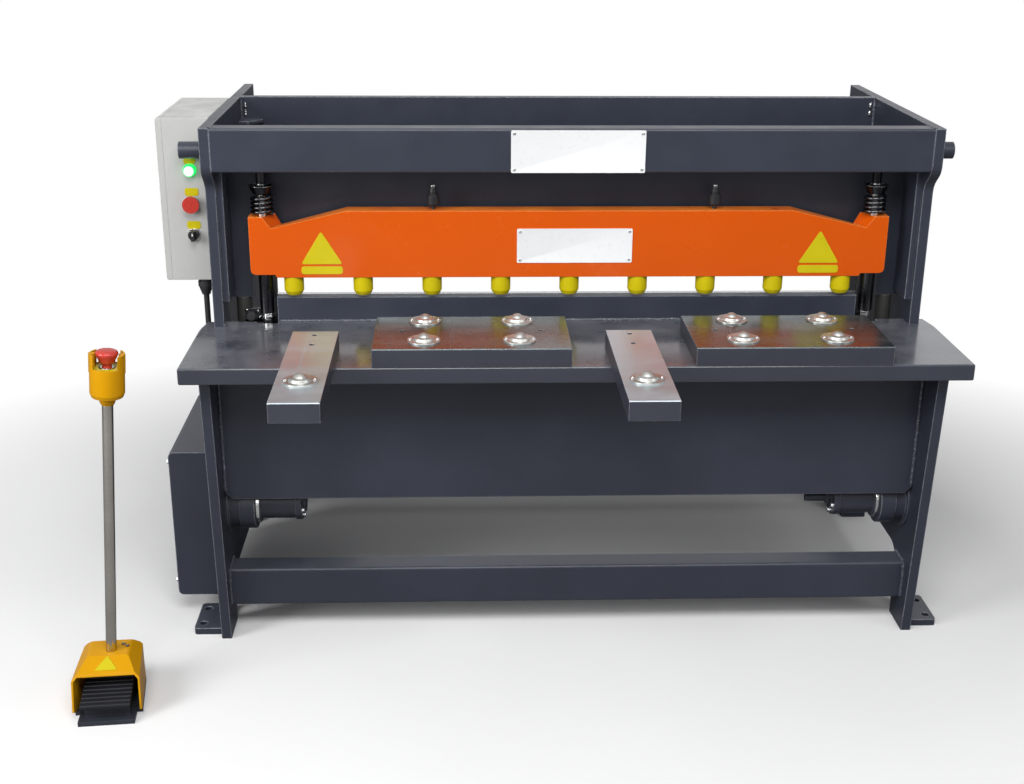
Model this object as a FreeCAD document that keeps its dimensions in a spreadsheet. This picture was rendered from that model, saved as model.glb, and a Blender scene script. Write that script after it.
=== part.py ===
"""Electromechanical guillotine shear for 1300 mm sheet, as separate named sub-components.

Millimetres.  X runs along the blades, Y points from the operator to the back, Z up from the floor.
The origin is the centre of the four outer anchor holes, on the floor.
"""
import FreeCAD
import Part
import Sketcher
import math
import os

Vector = FreeCAD.Vector
Rotation = FreeCAD.Rotation

os.makedirs("parts", exist_ok=True)
doc = FreeCAD.newDocument("guillotine_shear")
sheet = doc.addObject("Spreadsheet::Sheet", "Sizes")

SIZES = {
    # welded frame
    "outer_half": 797.0,
    "plate_thk": 22.0,
    "frame_top": 1143.0,
    "beam_front": -250.0,
    "beam_high": 94.0,
    "beam_deep": 50.0,
    "beam_wall": 8.0,
    "beam_round": 5.0,
    "recess_deep": 42.0,
    "gusset_drop": 38.0,
    "gusset_round": 36.0,
    "arm_rear": 448.0,
    "leg_front_low": -380.0,
    "leg_front_high": -440.0,
    "leg_rear_low": 380.0,
    "arch_half": 288.0,
    "arch_high": 170.0,
    "arch_round": 45.0,
    "rear_plate_y": 220.0,
    "rear_plate_thk": 20.0,
    "rear_plate_high": 230.0,
    "tie_front": -352.0,
    "tie_deep": 62.0,
    "tie_low": 71.0,
    "tie_high": 91.0,
    "tie_wall": 6.0,
    "tie_round": 6.0,
    "apron_front": -350.0,
    "apron_thk": 8.0,
    "apron_low": 336.0,
    "apron_gap": 3.0,
    "apron_cut": 14.0,
    # feet and anchors
    "foot_half": 60.0,
    "foot_out": 66.0,
    "foot_thk": 16.0,
    "foot_corner": 8.0,
    "anchor_y": 300.0,
    "anchor_pitch": 70.0,
    "anchor_out": 48.0,
    "anchor_hole": 9.0,
    # table
    "table_top": 694.0,
    "table_thk": 36.0,
    "table_front": -498.0,
    "table_over": 31.0,
    "table_round": 4.0,
    "ear_rear": -170.0,
    "ear_cut_x": 11.0,
    "ear_cut_y": 70.0,
    "fit_gap": 0.5,
    # knife bed and blades
    "bed_front": -166.0,
    "bed_top": 751.0,
    "bed_half": 660.0,
    "bed_edge": 2.0,
    "shear_plane": -128.0,
    "blade_thk": 15.0,
    "blade_high": 60.0,
    "bed_back_gap": 5.0,
    "bar_high": 101.0,
    "web_high": 170.0,
    "blade_gap": 0.3,
    # ram
    "ram_thk": 30.0,
    "ram_down": 43.0,
    "wing_gap": 5.0,
    "wing_wide": 52.0,
    "wing_low": 736.0,
    "blade_open": 38.0,
    "blade_rake": 26.0,
    "blade_proud": 10.0,
    "rib_high": 250.0,
    "rib_deep": 60.0,
    "rib_thk": 14.0,
    "rib_inset": 20.0,
    "rib_count": 5.0,
    "ram_stroke": 70.0,
    "guide_gap": 0.5,
    "guide_wide": 14.0,
    "guide_front": -200.0,
    "guide_rear_deep": 24.0,
    "guide_low": 750.0,
    "rod_r": 18.0,
    "rod_bore": 22.0,
    "rod_low": 520.0,
    # drive under the table
    "housing_wide": 69.0,
    "housing_rear": -30.0,
    "housing_low": 336.0,
    "housing_high": 224.0,
    "housing_round": 14.0,
    "bore_low": 425.0,
    "shaft_y": -70.0,
    "shaft_z": 385.0,
    "shaft_r": 25.0,
    "motor_y": 50.0,
    "motor_z": 262.0,
    "motor_r": 72.0,
    "motor_len": 250.0,
    "motor_flange": 90.0,
    "motor_flange_thk": 14.0,
    "fan_len": 48.0,
    "fin_high": 8.0,
    "fin_thk": 5.0,
    # hold-down
    "hold_front": -182.0,
    "hold_thk": 45.0,
    "hold_gap": 62.0,
    "hold_high": 151.0,
    "hold_flat": 497.0,
    "boss_up": 6.5,
    "boss_drop": 14.0,
    "boss_rear": 54.0,
    "boss_front": 31.0,
    "valley_rear": 13.5,
    "valley_front": 18.0,
    "valley_drop": 25.0,
    "step_run": 3.0,
    "hold_round": 10.0,
    "pad_count": 9.0,
    "pad_pitch": 155.2,
    "pad_r": 22.0,
    "pad_tip_r": 18.0,
    "pad_gap": 6.0,
    "pad_high": 43.0,
    "pad_taper": 10.0,
    "hold_lift": 12.0,
    # guide posts with springs
    "post_in": 29.0,
    "post_r": 10.0,
    "post_fit": 0.3,
    "sleeve_r": 15.5,
    "sleeve_low": 714.0,
    "seat_gap": 0.3,
    "spring_r": 24.0,
    "wire_r": 3.0,
    "spring_turns": 4.25,
    "spring_high": 48.5,
    "cup_r": 27.5,
    "cup_neck": 19.0,
    "cup_high": 19.0,
    "cup_wall": 3.0,
    "cup_floor": 8.0,
    "nut_r": 15.0,
    "nut_high": 13.0,
    "post_end": 8.0,
    "socket_half": 24.0,
    "socket_low": 600.0,
    "socket_high": 68.0,
    # supports on the table
    "arm_x_left": -554.2,
    "arm_x_right": 112.3,
    "arm_wide": 97.0,
    "arm_front": -810.0,
    "arm_back": -371.0,
    "block_high": 40.0,
    "block_edge": 1.5,
    "block_x_left": -223.5,
    "block_x_right": 447.5,
    "block_wide": 413.0,
    "block_front": -498.0,
    "block_back": -268.0,
    "ball_pitch_x": 200.0,
    "ball_pitch_y": 137.0,
    "ball_row_y": -371.5,
    "arm_ball_y": -691.0,
    "ball_r": 15.0,
    "flange_r": 34.5,
    "flange_thk": 3.0,
    "hub_r": 23.0,
    "hub_high": 8.0,
    "block_hole_r": 5.5,
    "block_hole_x": 148.0,
    "arm_hole_y1": -398.0,
    "arm_hole_y2": -463.0,
    # rocker units under the apron
    "rocker_y": -278.0,
    "rocker_z": 297.0,
    "lug_r": 60.0,
    "lug_in": 28.0,
    "lug_thk": 34.0,
    "lug_seat": 45.0,
    "rocker_ring": 68.0,
    "ring_thk": 4.0,
    "rocker_boss": 55.0,
    "rocker_disc": 10.0,
    "rocker_r": 38.0,
    "rocker_len": 79.0,
    "rocker_cap": 14.0,
    # lifting bars
    "lift_y": -98.0,
    "lift_down": 72.5,
    "lift_r": 19.0,
    "lift_out": 71.5,
    # drive cover
    "cover_front": -270.0,
    "cover_deep": 387.0,
    "cover_wide": 114.0,
    "cover_low": 56.0,
    "cover_high": 360.0,
    "cover_round": 12.0,
    # electrical cabinet
    "cab_front": -72.0,
    "cab_deep": 312.0,
    "cab_down": 6.0,
    "cab_high": 371.0,
    "cab_gap": 8.0,
    "cab_wide": 118.0,
    "cab_round": 5.0,
    "door_thk": 14.0,
    "button_in": 48.0,
    "lamp_down": 116.0,
    "stop_down": 192.0,
    "selector_down": 264.0,
    "bezel_r": 14.5,
    "bezel_high": 5.0,
    "stop_r": 19.0,
    "stem_r": 9.0,
    "collar_r": 9.5,
    "lead_in": 34.0,
    "lead_y": -50.0,
    "lead_r": 6.5,
    "gland_r": 17.0,
    "gland_long": 40.0,
    # foot control
    "foot_x": -988.5,
    "foot_y": -618.0,
    "base_front": -728.0,
    "base_rear": -560.0,
    "base_half": 57.0,
    "base_thk": 10.0,
    "base_step_y": -684.0,
    "body_half": 46.0,
    "body_front": -706.0,
    "body_high": 26.0,
    "guard_half": 70.0,
    "guard_top_half": 42.0,
    "guard_front": -706.0,
    "guard_low": 20.0,
    "guard_knee_y": -691.0,
    "guard_knee": 84.0,
    "guard_lip_y": -684.0,
    "guard_lip": 96.0,
    "guard_ridge_y": -640.0,
    "guard_high": 113.0,
    "guard_rear": -564.0,
    "guard_wall": 4.0,
    "guard_round": 14.0,
    "guard_taper": 9.0,
    "foot_turn": 5.0,
    "treadle_half": 50.0,
    "treadle_front": -730.0,
    "treadle_rear": -596.0,
    "treadle_low": 38.0,
    "treadle_thk": 7.0,
    "treadle_rise": 22.0,
    "tread_ribs": 9.0,
    "rib_up": 1.6,
    "hinge_y": -604.0,
    "hinge_up": 19.0,
    "hinge_r": 5.0,
    "column_r": 11.0,
    "column_len": 549.0,
    "column_off": 4.5,
    "column_lean": 4.3,
    "fin_out": 20.0,
    "case_r": 34.0,
    "case_high": 106.0,
    "case_wall": 3.5,
    "case_neck": 15.5,
    "case_neck_high": 14.0,
    "case_round": 12.0,
    "case_rim": 79.0,
    "case_deck": 66.0,
    "ear_r": 6.5,
    "stem_bore": 11.0,
    "mushroom_r": 22.0,
    "mushroom_lift": 58.0,
}


class Size:
    """A number together with the sheet expression that gives it."""

    def __init__(self, num, txt):
        self.num = float(num)
        self.txt = txt

    @staticmethod
    def of(value):
        if isinstance(value, Size):
            return value
        return Size(value, repr(float(value)))

    def _join(self, other, sign, num, swap=False):
        other = Size.of(other)
        first, second = (other, self) if swap else (self, other)
        return Size(num(first.num, second.num), "(%s %s %s)" % (first.txt, sign, second.txt))

    def __add__(self, other):
        return self._join(other, "+", lambda a, b: a + b)

    def __radd__(self, other):
        return self._join(other, "+", lambda a, b: a + b, True)

    def __sub__(self, other):
        return self._join(other, "-", lambda a, b: a - b)

    def __rsub__(self, other):
        return self._join(other, "-", lambda a, b: a - b, True)

    def __mul__(self, other):
        return self._join(other, "*", lambda a, b: a * b)

    def __rmul__(self, other):
        return self._join(other, "*", lambda a, b: a * b, True)

    def __truediv__(self, other):
        return self._join(other, "/", lambda a, b: a / b)

    def __neg__(self):
        return Size(-self.num, "(-1 * %s)" % self.txt)


class Values:
    """Every sheet size by name, as a Size."""


S = Values()
for row, (name, value) in enumerate(SIZES.items(), start=1):
    sheet.set("A%d" % row, name)
    sheet.set("B%d" % row, "%g" % value)
    sheet.setAlias("B%d" % row, name)
    setattr(S, name, Size(value, "Sizes." + name))
doc.recompute()

X_AXIS = Vector(1, 0, 0)
Y_AXIS = Vector(0, 1, 0)
Z_AXIS = Vector(0, 0, 1)
nodes = []


def bind(obj, prop, value):
    """Ties one property to its size."""
    obj.setExpression(prop, Size.of(value).txt)


def place(obj, x=0.0, y=0.0, z=0.0, axis=Z_AXIS, turn=0.0):
    """Sets a turn and ties the position to its sizes."""
    x, y, z = Size.of(x), Size.of(y), Size.of(z)
    obj.Placement = FreeCAD.Placement(Vector(x.num, y.num, z.num), Rotation(axis, turn))
    bind(obj, "Placement.Base.x", x)
    bind(obj, "Placement.Base.y", y)
    bind(obj, "Placement.Base.z", z)


def node(obj, label):
    """Names a finished sub-part."""
    obj.Label = label
    nodes.append(obj)
    return obj


def block(name, x, y, z):
    """A box from pairs of limits."""
    obj = doc.addObject("Part::Box", name)
    low = [Size.of(pair[0]) for pair in (x, y, z)]
    high = [Size.of(pair[1]) for pair in (x, y, z)]
    place(obj, *low)
    for prop, a, b in zip(("Length", "Width", "Height"), low, high):
        bind(obj, prop, b - a)
    return obj


def rod(name, radius, length, x, y, z, along="z"):
    """A cylinder that starts at a point and runs along +X, +Y or +Z."""
    obj = doc.addObject("Part::Cylinder", name)
    axis, turn = {"x": (Y_AXIS, 90.0), "y": (X_AXIS, -90.0), "z": (Z_AXIS, 0.0)}[along]
    place(obj, x, y, z, axis, turn)
    bind(obj, "Radius", radius)
    bind(obj, "Height", length)
    return obj


def fuse(name, parts):
    """One solid from several that touch."""
    obj = doc.addObject("Part::MultiFuse", name)
    obj.Shapes = parts
    obj.Refine = True
    return obj


def group(name, parts):
    """Separate solids of one sub-part."""
    obj = doc.addObject("Part::Compound", name)
    obj.Links = parts
    return obj


def cut(name, base, tools):
    """The base without the tools."""
    tool = tools[0] if len(tools) == 1 else fuse(name + "_tools", tools)
    obj = doc.addObject("Part::Cut", name)
    obj.Base = base
    obj.Tool = tool
    return obj


def common(name, first, second):
    """What two solids share."""
    obj = doc.addObject("Part::Common", name)
    obj.Base = first
    obj.Tool = second
    return obj


def body(name):
    return doc.addObject("PartDesign::Body", name)


def plane_of(owner, role):
    """The origin plane of a body by its role."""
    for feature in owner.Origin.OriginFeatures:
        if feature.Role == role:
            return feature
    raise ValueError(role)


def sketch_on(owner, role, name):
    """A sketch on one of the body's origin planes."""
    sk = owner.newObject("Sketcher::SketchObject", name)
    sk.AttachmentSupport = [(plane_of(owner, role), "")]
    sk.MapMode = "FlatFace"
    return sk


def tie(sk, kind, geo, point, value, name):
    """Ties one distance from the sketch's origin to its size."""
    index = sk.addConstraint(Sketcher.Constraint(kind, -1, 1, geo, point, value.num))
    sk.renameConstraint(index, name)
    sk.setExpression("Constraints." + name, value.txt)


def outline(sk, points, tag="p"):
    """A closed run of straight lines whose corners are tied to sizes."""
    points = [(Size.of(a), Size.of(b)) for a, b in points]
    count = len(points)
    first = sk.GeometryCount
    for i in range(count):
        a, b = points[i], points[(i + 1) % count]
        start = Vector(a[0].num, a[1].num, 0)
        end = Vector(b[0].num, b[1].num, 0)
        sk.addGeometry(Part.LineSegment(start, end), False)
    for i in range(count):
        after = first + (i + 1) % count
        sk.addConstraint(Sketcher.Constraint("Coincident", first + i, 2, after, 1))
    for i, (a, b) in enumerate(points):
        tie(sk, "DistanceX", first + i, 1, a, "%s%dx" % (tag, i))
        tie(sk, "DistanceY", first + i, 1, b, "%s%dy" % (tag, i))


def circle(sk, a, b, radius, tag):
    """A round hole in a sketch."""
    a, b, radius = Size.of(a), Size.of(b), Size.of(radius)
    geo = sk.addGeometry(Part.Circle(Vector(a.num, b.num, 0), Z_AXIS, radius.num), False)
    tie(sk, "DistanceX", geo, 3, a, tag + "x")
    tie(sk, "DistanceY", geo, 3, b, tag + "y")
    index = sk.addConstraint(Sketcher.Constraint("Radius", geo, radius.num))
    sk.renameConstraint(index, tag + "r")
    sk.setExpression("Constraints." + tag + "r", radius.txt)


def slab(name, role, points, length, reverse=False, holes=(), inside=None):
    """A plate padded from a sketch, with round holes or an inner outline."""
    owner = body(name)
    sk = sketch_on(owner, role, name + "_outline")
    outline(sk, points)
    if inside:
        outline(sk, inside, "q")
    for i, (a, b, radius) in enumerate(holes):
        circle(sk, a, b, radius, "h%d" % i)
    feature = owner.newObject("PartDesign::Pad", name + "_pad")
    feature.Profile = sk
    feature.Reversed = reverse
    bind(feature, "Length", length)
    owner.Tip = feature
    return owner


def turned(name, profile):
    """A solid of revolution about Z from a profile of (radius, height) points."""
    owner = body(name)
    sk = sketch_on(owner, "XZ_Plane", name + "_profile")
    outline(sk, profile)
    feature = owner.newObject("PartDesign::Revolution", name + "_turn")
    feature.Profile = sk
    feature.ReferenceAxis = (sk, ["V_Axis"])
    feature.Angle = 360.0
    owner.Tip = feature
    return owner


def edges_along(shape, direction, test):
    """Names of straight edges along a direction that pass a test on their middle point."""
    found = []
    for i, edge in enumerate(shape.Edges, start=1):
        ends = [v.Point for v in edge.Vertexes]
        if len(ends) != 2:
            continue
        run = ends[1].sub(ends[0])
        if run.Length < 1e-6 or run.cross(direction).Length > 1e-4 * run.Length:
            continue
        middle = ends[0].add(ends[1]).multiply(0.5)
        if test(middle):
            found.append("Edge%d" % i)
    return found


def rounded(owner, radius, direction, test, name, kind="Fillet"):
    """Rounds or bevels chosen straight edges of a body."""
    doc.recompute()
    base = owner.Tip
    feature = owner.newObject("PartDesign::" + kind, name)
    feature.Base = (base, edges_along(base.Shape, direction, test))
    bind(feature, "Radius" if kind == "Fillet" else "Size", radius)
    owner.Tip = feature
    return feature


# places that follow from the sizes
inner_half = S.outer_half - S.plate_thk
beam_low = S.frame_top - S.beam_high
recess_front = S.beam_front + S.recess_deep
gusset_low = beam_low - S.gusset_drop
table_low = S.table_top - S.table_thk
table_half = S.outer_half + S.table_over
bed_back = S.shear_plane - S.bed_back_gap
bed_shoulder = S.bed_top - S.bar_high
bed_low = bed_shoulder - S.web_high
blade_seat = S.shear_plane - S.blade_thk
ram_top = S.frame_top - S.ram_down
ram_half = inner_half - S.wing_gap
wing_in = ram_half - S.wing_wide
wing_mid_x = (wing_in + ram_half) / 2
ram_front = S.shear_plane + S.blade_gap + S.blade_thk
ram_rear = ram_front + S.ram_thk
ram_mid_y = ram_front + S.ram_thk / 2
hold_half = inner_half - S.hold_gap
hold_rear = S.hold_front + S.hold_thk
hold_mid_y = S.hold_front + S.hold_thk / 2
pad_low = S.bed_top + S.pad_gap
hold_low = pad_low + S.pad_high
hold_top = hold_low + S.hold_high
boss_low = hold_low + S.boss_up
boss_top = hold_top - S.boss_drop
post_x = hold_half - S.post_in
block_top = S.table_top + S.block_high
cab_in = S.outer_half + S.cab_gap
cab_out = cab_in + S.cab_wide
cab_top = S.frame_top - S.cab_down
cab_low = cab_top - S.cab_high
button_x = -cab_in - S.button_in
cover_out = S.outer_half + S.cover_wide
cover_top = S.cover_low + S.cover_high


def near(value, size, slack=1.0):
    """True where a coordinate lies at a size."""
    return abs(value - size.num) < slack


# side plates
side_points = [
    (S.leg_front_low, 0.0),
    (S.leg_front_high, table_low),
    (recess_front, table_low),
    (recess_front, gusset_low),
    (S.beam_front, beam_low),
    (S.beam_front, S.frame_top),
    (S.arm_rear, S.frame_top),
    (S.arm_rear, table_low),
    (S.leg_rear_low, 0.0),
    (S.arch_half, 0.0),
    (S.arch_half, S.arch_high),
    (-S.arch_half, S.arch_high),
    (-S.arch_half, 0.0),
]
for side, name in ((-1, "left_side_plate"), (1, "right_side_plate")):
    plate = slab(name, "YZ_Plane", side_points, S.plate_thk)
    rounded(plate, S.arch_round, X_AXIS,
            lambda p: near(p.z, S.arch_high) and near(abs(p.y), S.arch_half), name + "_arch")
    rounded(plate, S.gusset_round, X_AXIS,
            lambda p: near(p.y, recess_front) and near(p.z, gusset_low)
            or near(p.y, S.beam_front) and near(p.z, beam_low), name + "_gusset")
    place(plate, inner_half if side > 0 else -S.outer_half)
    node(plate, name)


def tube(name, front, low, deep, high, wall, radius):
    """A rectangular hollow section that runs between the two side plates."""
    outer = [(front, low), (front + deep, low), (front + deep, low + high), (front, low + high)]
    inner = [(front + wall, low + wall), (front + deep - wall, low + wall),
             (front + deep - wall, low + high - wall), (front + wall, low + high - wall)]
    obj = slab(name, "YZ_Plane", outer, inner_half * 2, False, (), inner)
    rounded(obj, radius, X_AXIS,
            lambda p: (near(p.y, Size.of(front)) or near(p.y, Size.of(front) + deep))
            and (near(p.z, Size.of(low)) or near(p.z, Size.of(low) + high)), name + "_round")
    place(obj, -inner_half)
    return obj


# cross members
node(tube("top_tube", S.beam_front, beam_low, S.beam_deep, S.beam_high, S.beam_wall, S.beam_round),
     "front_top_beam")
node(block("rear_plate", (-inner_half, inner_half), (S.rear_plate_y, S.rear_plate_y + S.rear_plate_thk),
           (S.frame_top - S.rear_plate_high, S.frame_top)), "rear_cross_plate")
ties = [tube("front_tie", S.tie_front, S.tie_low, S.tie_deep, S.tie_high, S.tie_wall, S.tie_round),
        tube("rear_tie", -S.tie_front - S.tie_deep, S.tie_low, S.tie_deep, S.tie_high, S.tie_wall,
             S.tie_round)]
node(group("ties", ties), "lower_beams")

apron_half = inner_half - S.apron_gap
apron = slab("apron", "XZ_Plane", [
    (-apron_half, table_low),
    (-apron_half, S.apron_low + S.apron_cut),
    (-apron_half + S.apron_cut, S.apron_low),
    (apron_half - S.apron_cut, S.apron_low),
    (apron_half, S.apron_low + S.apron_cut),
    (apron_half, table_low),
], S.apron_thk, True)
place(apron, 0.0, S.apron_front)
node(apron, "front_apron")

# feet
feet = []
for side in (-1, 1):
    for end in (-1, 1):
        tag = "foot_%s%s" % ("l" if side < 0 else "r", "f" if end < 0 else "b")
        near_x = S.outer_half * side
        far_x = (S.outer_half + S.foot_out) * side
        hole_x = (S.outer_half + S.anchor_out) * side
        mid = S.anchor_y * end
        foot = slab(tag, "XY_Plane", [
            (near_x, mid - S.foot_half),
            (far_x, mid - S.foot_half),
            (far_x, mid + S.foot_half),
            (near_x, mid + S.foot_half),
        ], S.foot_thk, False, [
            (hole_x, mid - S.anchor_pitch / 2, S.anchor_hole),
            (hole_x, mid + S.anchor_pitch / 2, S.anchor_hole),
        ])
        rounded(foot, S.foot_corner, Z_AXIS, lambda p: near(p.x, far_x), tag + "_corner")
        feet.append(foot)
node(group("feet", feet), "anchor_feet")

# table
slot_in = inner_half - S.fit_gap
slot_out = S.outer_half + S.fit_gap
slot_front = recess_front - S.fit_gap
notch_in = post_x - S.socket_half - S.fit_gap
notch_out = post_x + S.socket_half + S.fit_gap
notch_front = hold_mid_y - S.socket_half - S.fit_gap
table_back = S.bed_front - S.bed_edge
half_table = [
    (table_half, S.table_front),
    (table_half, S.ear_rear - S.ear_cut_y),
    (table_half - S.ear_cut_x, S.ear_rear),
    (slot_out, S.ear_rear),
    (slot_out, slot_front),
    (slot_in, slot_front),
    (slot_in, table_back),
    (notch_out, table_back),
    (notch_out, notch_front),
    (notch_in, notch_front),
    (notch_in, S.bed_front),
]
table = slab("table", "XY_Plane", half_table + [(-a, b) for a, b in reversed(half_table)], S.table_thk)
rounded(table, S.table_round, X_AXIS, lambda p: near(p.y, S.table_front), "table_front_round")
rounded(table, S.table_round, Y_AXIS, lambda p: near(abs(p.x), table_half), "table_side_round")
place(table, 0.0, 0.0, table_low)
node(table, "work_table")

# knife bed
bed = slab("bed", "YZ_Plane", [
    (S.bed_front, bed_low),
    (bed_back, bed_low),
    (bed_back, S.bed_top - S.blade_high),
    (blade_seat, S.bed_top - S.blade_high),
    (blade_seat, S.bed_top),
    (S.bed_front, S.bed_top),
], S.bed_half * 2)
rounded(bed, S.bed_edge, X_AXIS, lambda p: near(p.y, S.bed_front) and near(p.z, S.bed_top), "bed_edge_round")
place(bed, -S.bed_half)
bed_ends = [
    block("bed_end_l", (-inner_half, -S.bed_half), (S.bed_front, bed_back), (bed_low, bed_shoulder)),
    block("bed_end_r", (S.bed_half, inner_half), (S.bed_front, bed_back), (bed_low, bed_shoulder)),
]
post_bores = [
    rod("bed_bore_%d" % (side + 1), S.post_r, bed_shoulder - S.socket_low + 1, post_x * side, hold_mid_y,
        S.socket_low)
    for side in (-1, 1)
]
node(cut("bed_drilled", fuse("bed_whole", [bed] + bed_ends), post_bores), "knife_bed")
node(block("low_blade", (-S.bed_half, S.bed_half), (blade_seat, S.shear_plane),
           (S.bed_top - S.blade_high, S.bed_top)), "lower_blade")

# ram
blade_left = S.bed_top + S.blade_open
blade_right = blade_left + S.blade_rake
ram_plate = slab("ram_plate", "XZ_Plane", [
    (-ram_half, ram_top),
    (-ram_half, S.wing_low),
    (-wing_in, S.wing_low),
    (-wing_in, blade_left + S.blade_proud),
    (-S.bed_half, blade_left + S.blade_proud),
    (S.bed_half, blade_right + S.blade_proud),
    (wing_in, blade_right + S.blade_proud),
    (wing_in, S.wing_low),
    (ram_half, S.wing_low),
    (ram_half, ram_top),
], S.ram_thk, True)
place(ram_plate, 0.0, ram_front)
node(ram_plate, "ram_beam")

rib_half = wing_in - S.rib_inset
rib_low = ram_top - S.rib_high
rib_y = (ram_rear, ram_rear + S.rib_deep)
ribs = [
    block("rib_low", (-rib_half, rib_half), rib_y, (rib_low, rib_low + S.rib_thk)),
    block("rib_top", (-rib_half, rib_half), rib_y, (ram_top - S.rib_thk, ram_top)),
]
rib_total = int(S.rib_count.num)
for i in range(rib_total):
    mid = (rib_half - S.rib_thk / 2) * (2.0 * i / (rib_total - 1) - 1)
    ribs.append(block("rib_%d" % i, (mid - S.rib_thk / 2, mid + S.rib_thk / 2), rib_y,
                      (rib_low + S.rib_thk, ram_top - S.rib_thk)))
node(group("ribs", ribs), "ram_stiffeners")

upper = slab("upper", "XZ_Plane", [
    (-S.bed_half, blade_left),
    (S.bed_half, blade_right),
    (S.bed_half, blade_right + S.blade_high),
    (-S.bed_half, blade_left + S.blade_high),
], S.blade_thk, True)
place(upper, 0.0, S.shear_plane + S.blade_gap)
node(upper, "upper_blade")

ram_rods = []
for side in (-1, 1):
    ram_rods.append(rod("ram_rod_%d" % (side + 1), S.rod_r, S.wing_low - S.rod_low, wing_mid_x * side,
                        ram_mid_y, S.rod_low))
node(group("ram_rods", ram_rods), "connecting_rods")

# guides welded to the plates, before and behind the ends of the ram
guides = []
for side in (-1, 1):
    guide_x = [(inner_half - S.guide_wide) * side, inner_half * side][::side]
    guides.append(block("guide_f%d" % (side + 1), guide_x, (S.guide_front, ram_front - S.guide_gap),
                        (S.guide_low, beam_low)))
    guides.append(block("guide_b%d" % (side + 1), guide_x,
                        (ram_rear + S.guide_gap, ram_rear + S.guide_gap + S.guide_rear_deep),
                        (S.guide_low, ram_top)))
node(group("guides", guides), "ram_guides")

# crank housings behind the bed, with a bore for each connecting rod
housings = []
housing_top = S.housing_low + S.housing_high
for side in (-1, 1):
    tag = "housing_%d" % (side + 1)
    case = slab(tag, "YZ_Plane", [
        (bed_back, S.housing_low),
        (S.housing_rear, S.housing_low),
        (S.housing_rear, housing_top),
        (bed_back, housing_top),
    ], S.housing_wide)
    rounded(case, S.housing_round, X_AXIS, lambda p: near(p.y, S.housing_rear), tag + "_round")
    place(case, -inner_half if side < 0 else inner_half - S.housing_wide)
    bore = rod(tag + "_bore", S.rod_bore, housing_top - S.bore_low + 1, wing_mid_x * side, ram_mid_y,
               S.bore_low)
    housings.append(cut(tag + "_bored", case, [bore]))
node(group("housings", housings), "crank_housings")
shaft_half = inner_half - S.housing_wide
node(rod("shaft", S.shaft_r, shaft_half * 2, -shaft_half, S.shaft_y, S.shaft_z, "x"), "drive_shaft")

# finned motor flanged to the left plate
motor_x = -inner_half
fins_x = motor_x + S.motor_flange_thk
fins_len = S.motor_len - S.motor_flange_thk - S.fan_len
motor_parts = [
    rod("motor_flange", S.motor_flange, S.motor_flange_thk, motor_x, S.motor_y, S.motor_z, "x"),
    rod("motor_can", S.motor_r, fins_len, fins_x, S.motor_y, S.motor_z, "x"),
    rod("motor_fan", S.motor_r + S.fin_high, S.fan_len, fins_x + fins_len, S.motor_y, S.motor_z, "x"),
    block("motor_box", (motor_x + 60, motor_x + 150), (S.motor_y - 45, S.motor_y + 45),
          (S.motor_z, S.motor_z + S.motor_r + 38)),
]
for i in range(6):
    fin = doc.addObject("Part::Box", "motor_fin_%d" % i)
    angle = 15.0 + 30.0 * i
    reach = S.motor_r + S.fin_high
    bind(fin, "Length", fins_len)
    bind(fin, "Width", S.fin_thk)
    bind(fin, "Height", reach * 2)
    back_y = reach * math.sin(math.radians(angle)) - S.fin_thk / 2 * math.cos(math.radians(angle))
    back_z = -reach * math.cos(math.radians(angle)) - S.fin_thk / 2 * math.sin(math.radians(angle))
    place(fin, fins_x, S.motor_y + back_y, S.motor_z + back_z, X_AXIS, angle)
    motor_parts.append(fin)
node(fuse("motor", motor_parts), "drive_motor")

# belt drive cover on the left plate
cover = slab("cover", "XZ_Plane", [
    (-cover_out, S.cover_low),
    (-S.outer_half, S.cover_low),
    (-S.outer_half, cover_top),
    (-cover_out, cover_top),
], S.cover_deep, True)
rounded(cover, S.cover_round, Y_AXIS, lambda p: near(p.x, -cover_out), "cover_round_edges")
place(cover, 0.0, S.cover_front)
node(cover, "drive_cover")


def stack(tag, side, steps):
    """Turned steps of (radius, length) along X, from the plate inwards."""
    parts = []
    run = Size.of(0.0)
    for i, (radius, length) in enumerate(steps):
        start = -inner_half + run if side < 0 else inner_half - run - length
        parts.append(rod("%s_%d" % (tag, i), radius, length, start, S.rocker_y, S.rocker_z, "x"))
        run = run + length
    return fuse(tag, parts)


def rocker_arm(side):
    """A lever with a round eye that reaches back to the knife bed."""
    tag = "arm_l" if side < 0 else "arm_r"
    start = -inner_half + S.lug_in if side < 0 else inner_half - S.lug_in - S.lug_thk
    eye = rod(tag + "_eye", S.lug_r, S.lug_thk, start, S.rocker_y, S.rocker_z, "x")
    lever = slab(tag + "_lever", "YZ_Plane", [
        (S.rocker_y, S.rocker_z + S.lug_r * 0.92),
        (S.rocker_y + S.lug_r * 0.7, S.rocker_z - S.lug_r * 0.6),
        (bed_back, bed_low - 60),
        (bed_back, bed_low - 1),
        (S.bed_front, bed_low - 1),
    ], S.lug_thk)
    place(lever, start)
    seat = rod(tag + "_seat", S.lug_seat, S.lug_thk, start, S.rocker_y, S.rocker_z, "x")
    return cut(tag + "_bored", fuse(tag + "_body", [eye, lever]), [seat])


rocker_steps = [
    (S.rocker_ring, S.ring_thk),
    (S.rocker_boss, S.lug_in - S.ring_thk),
    (S.lug_seat, S.lug_thk + S.rocker_disc),
    (S.rocker_r, S.rocker_len),
    (S.rocker_r + 3, S.rocker_cap),
]
left_tip = [(S.rocker_r - 14, 8.0)]
right_tip = [(S.rocker_r - 22, 10.0), (10.0, 50.0)]
node(group("rockers", [stack("rocker_l", -1, rocker_steps + left_tip),
                       stack("rocker_r", 1, rocker_steps + right_tip)]), "rocker_bearings")
node(group("rocker_levers", [rocker_arm(-1), rocker_arm(1)]), "rocker_arms")

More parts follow.
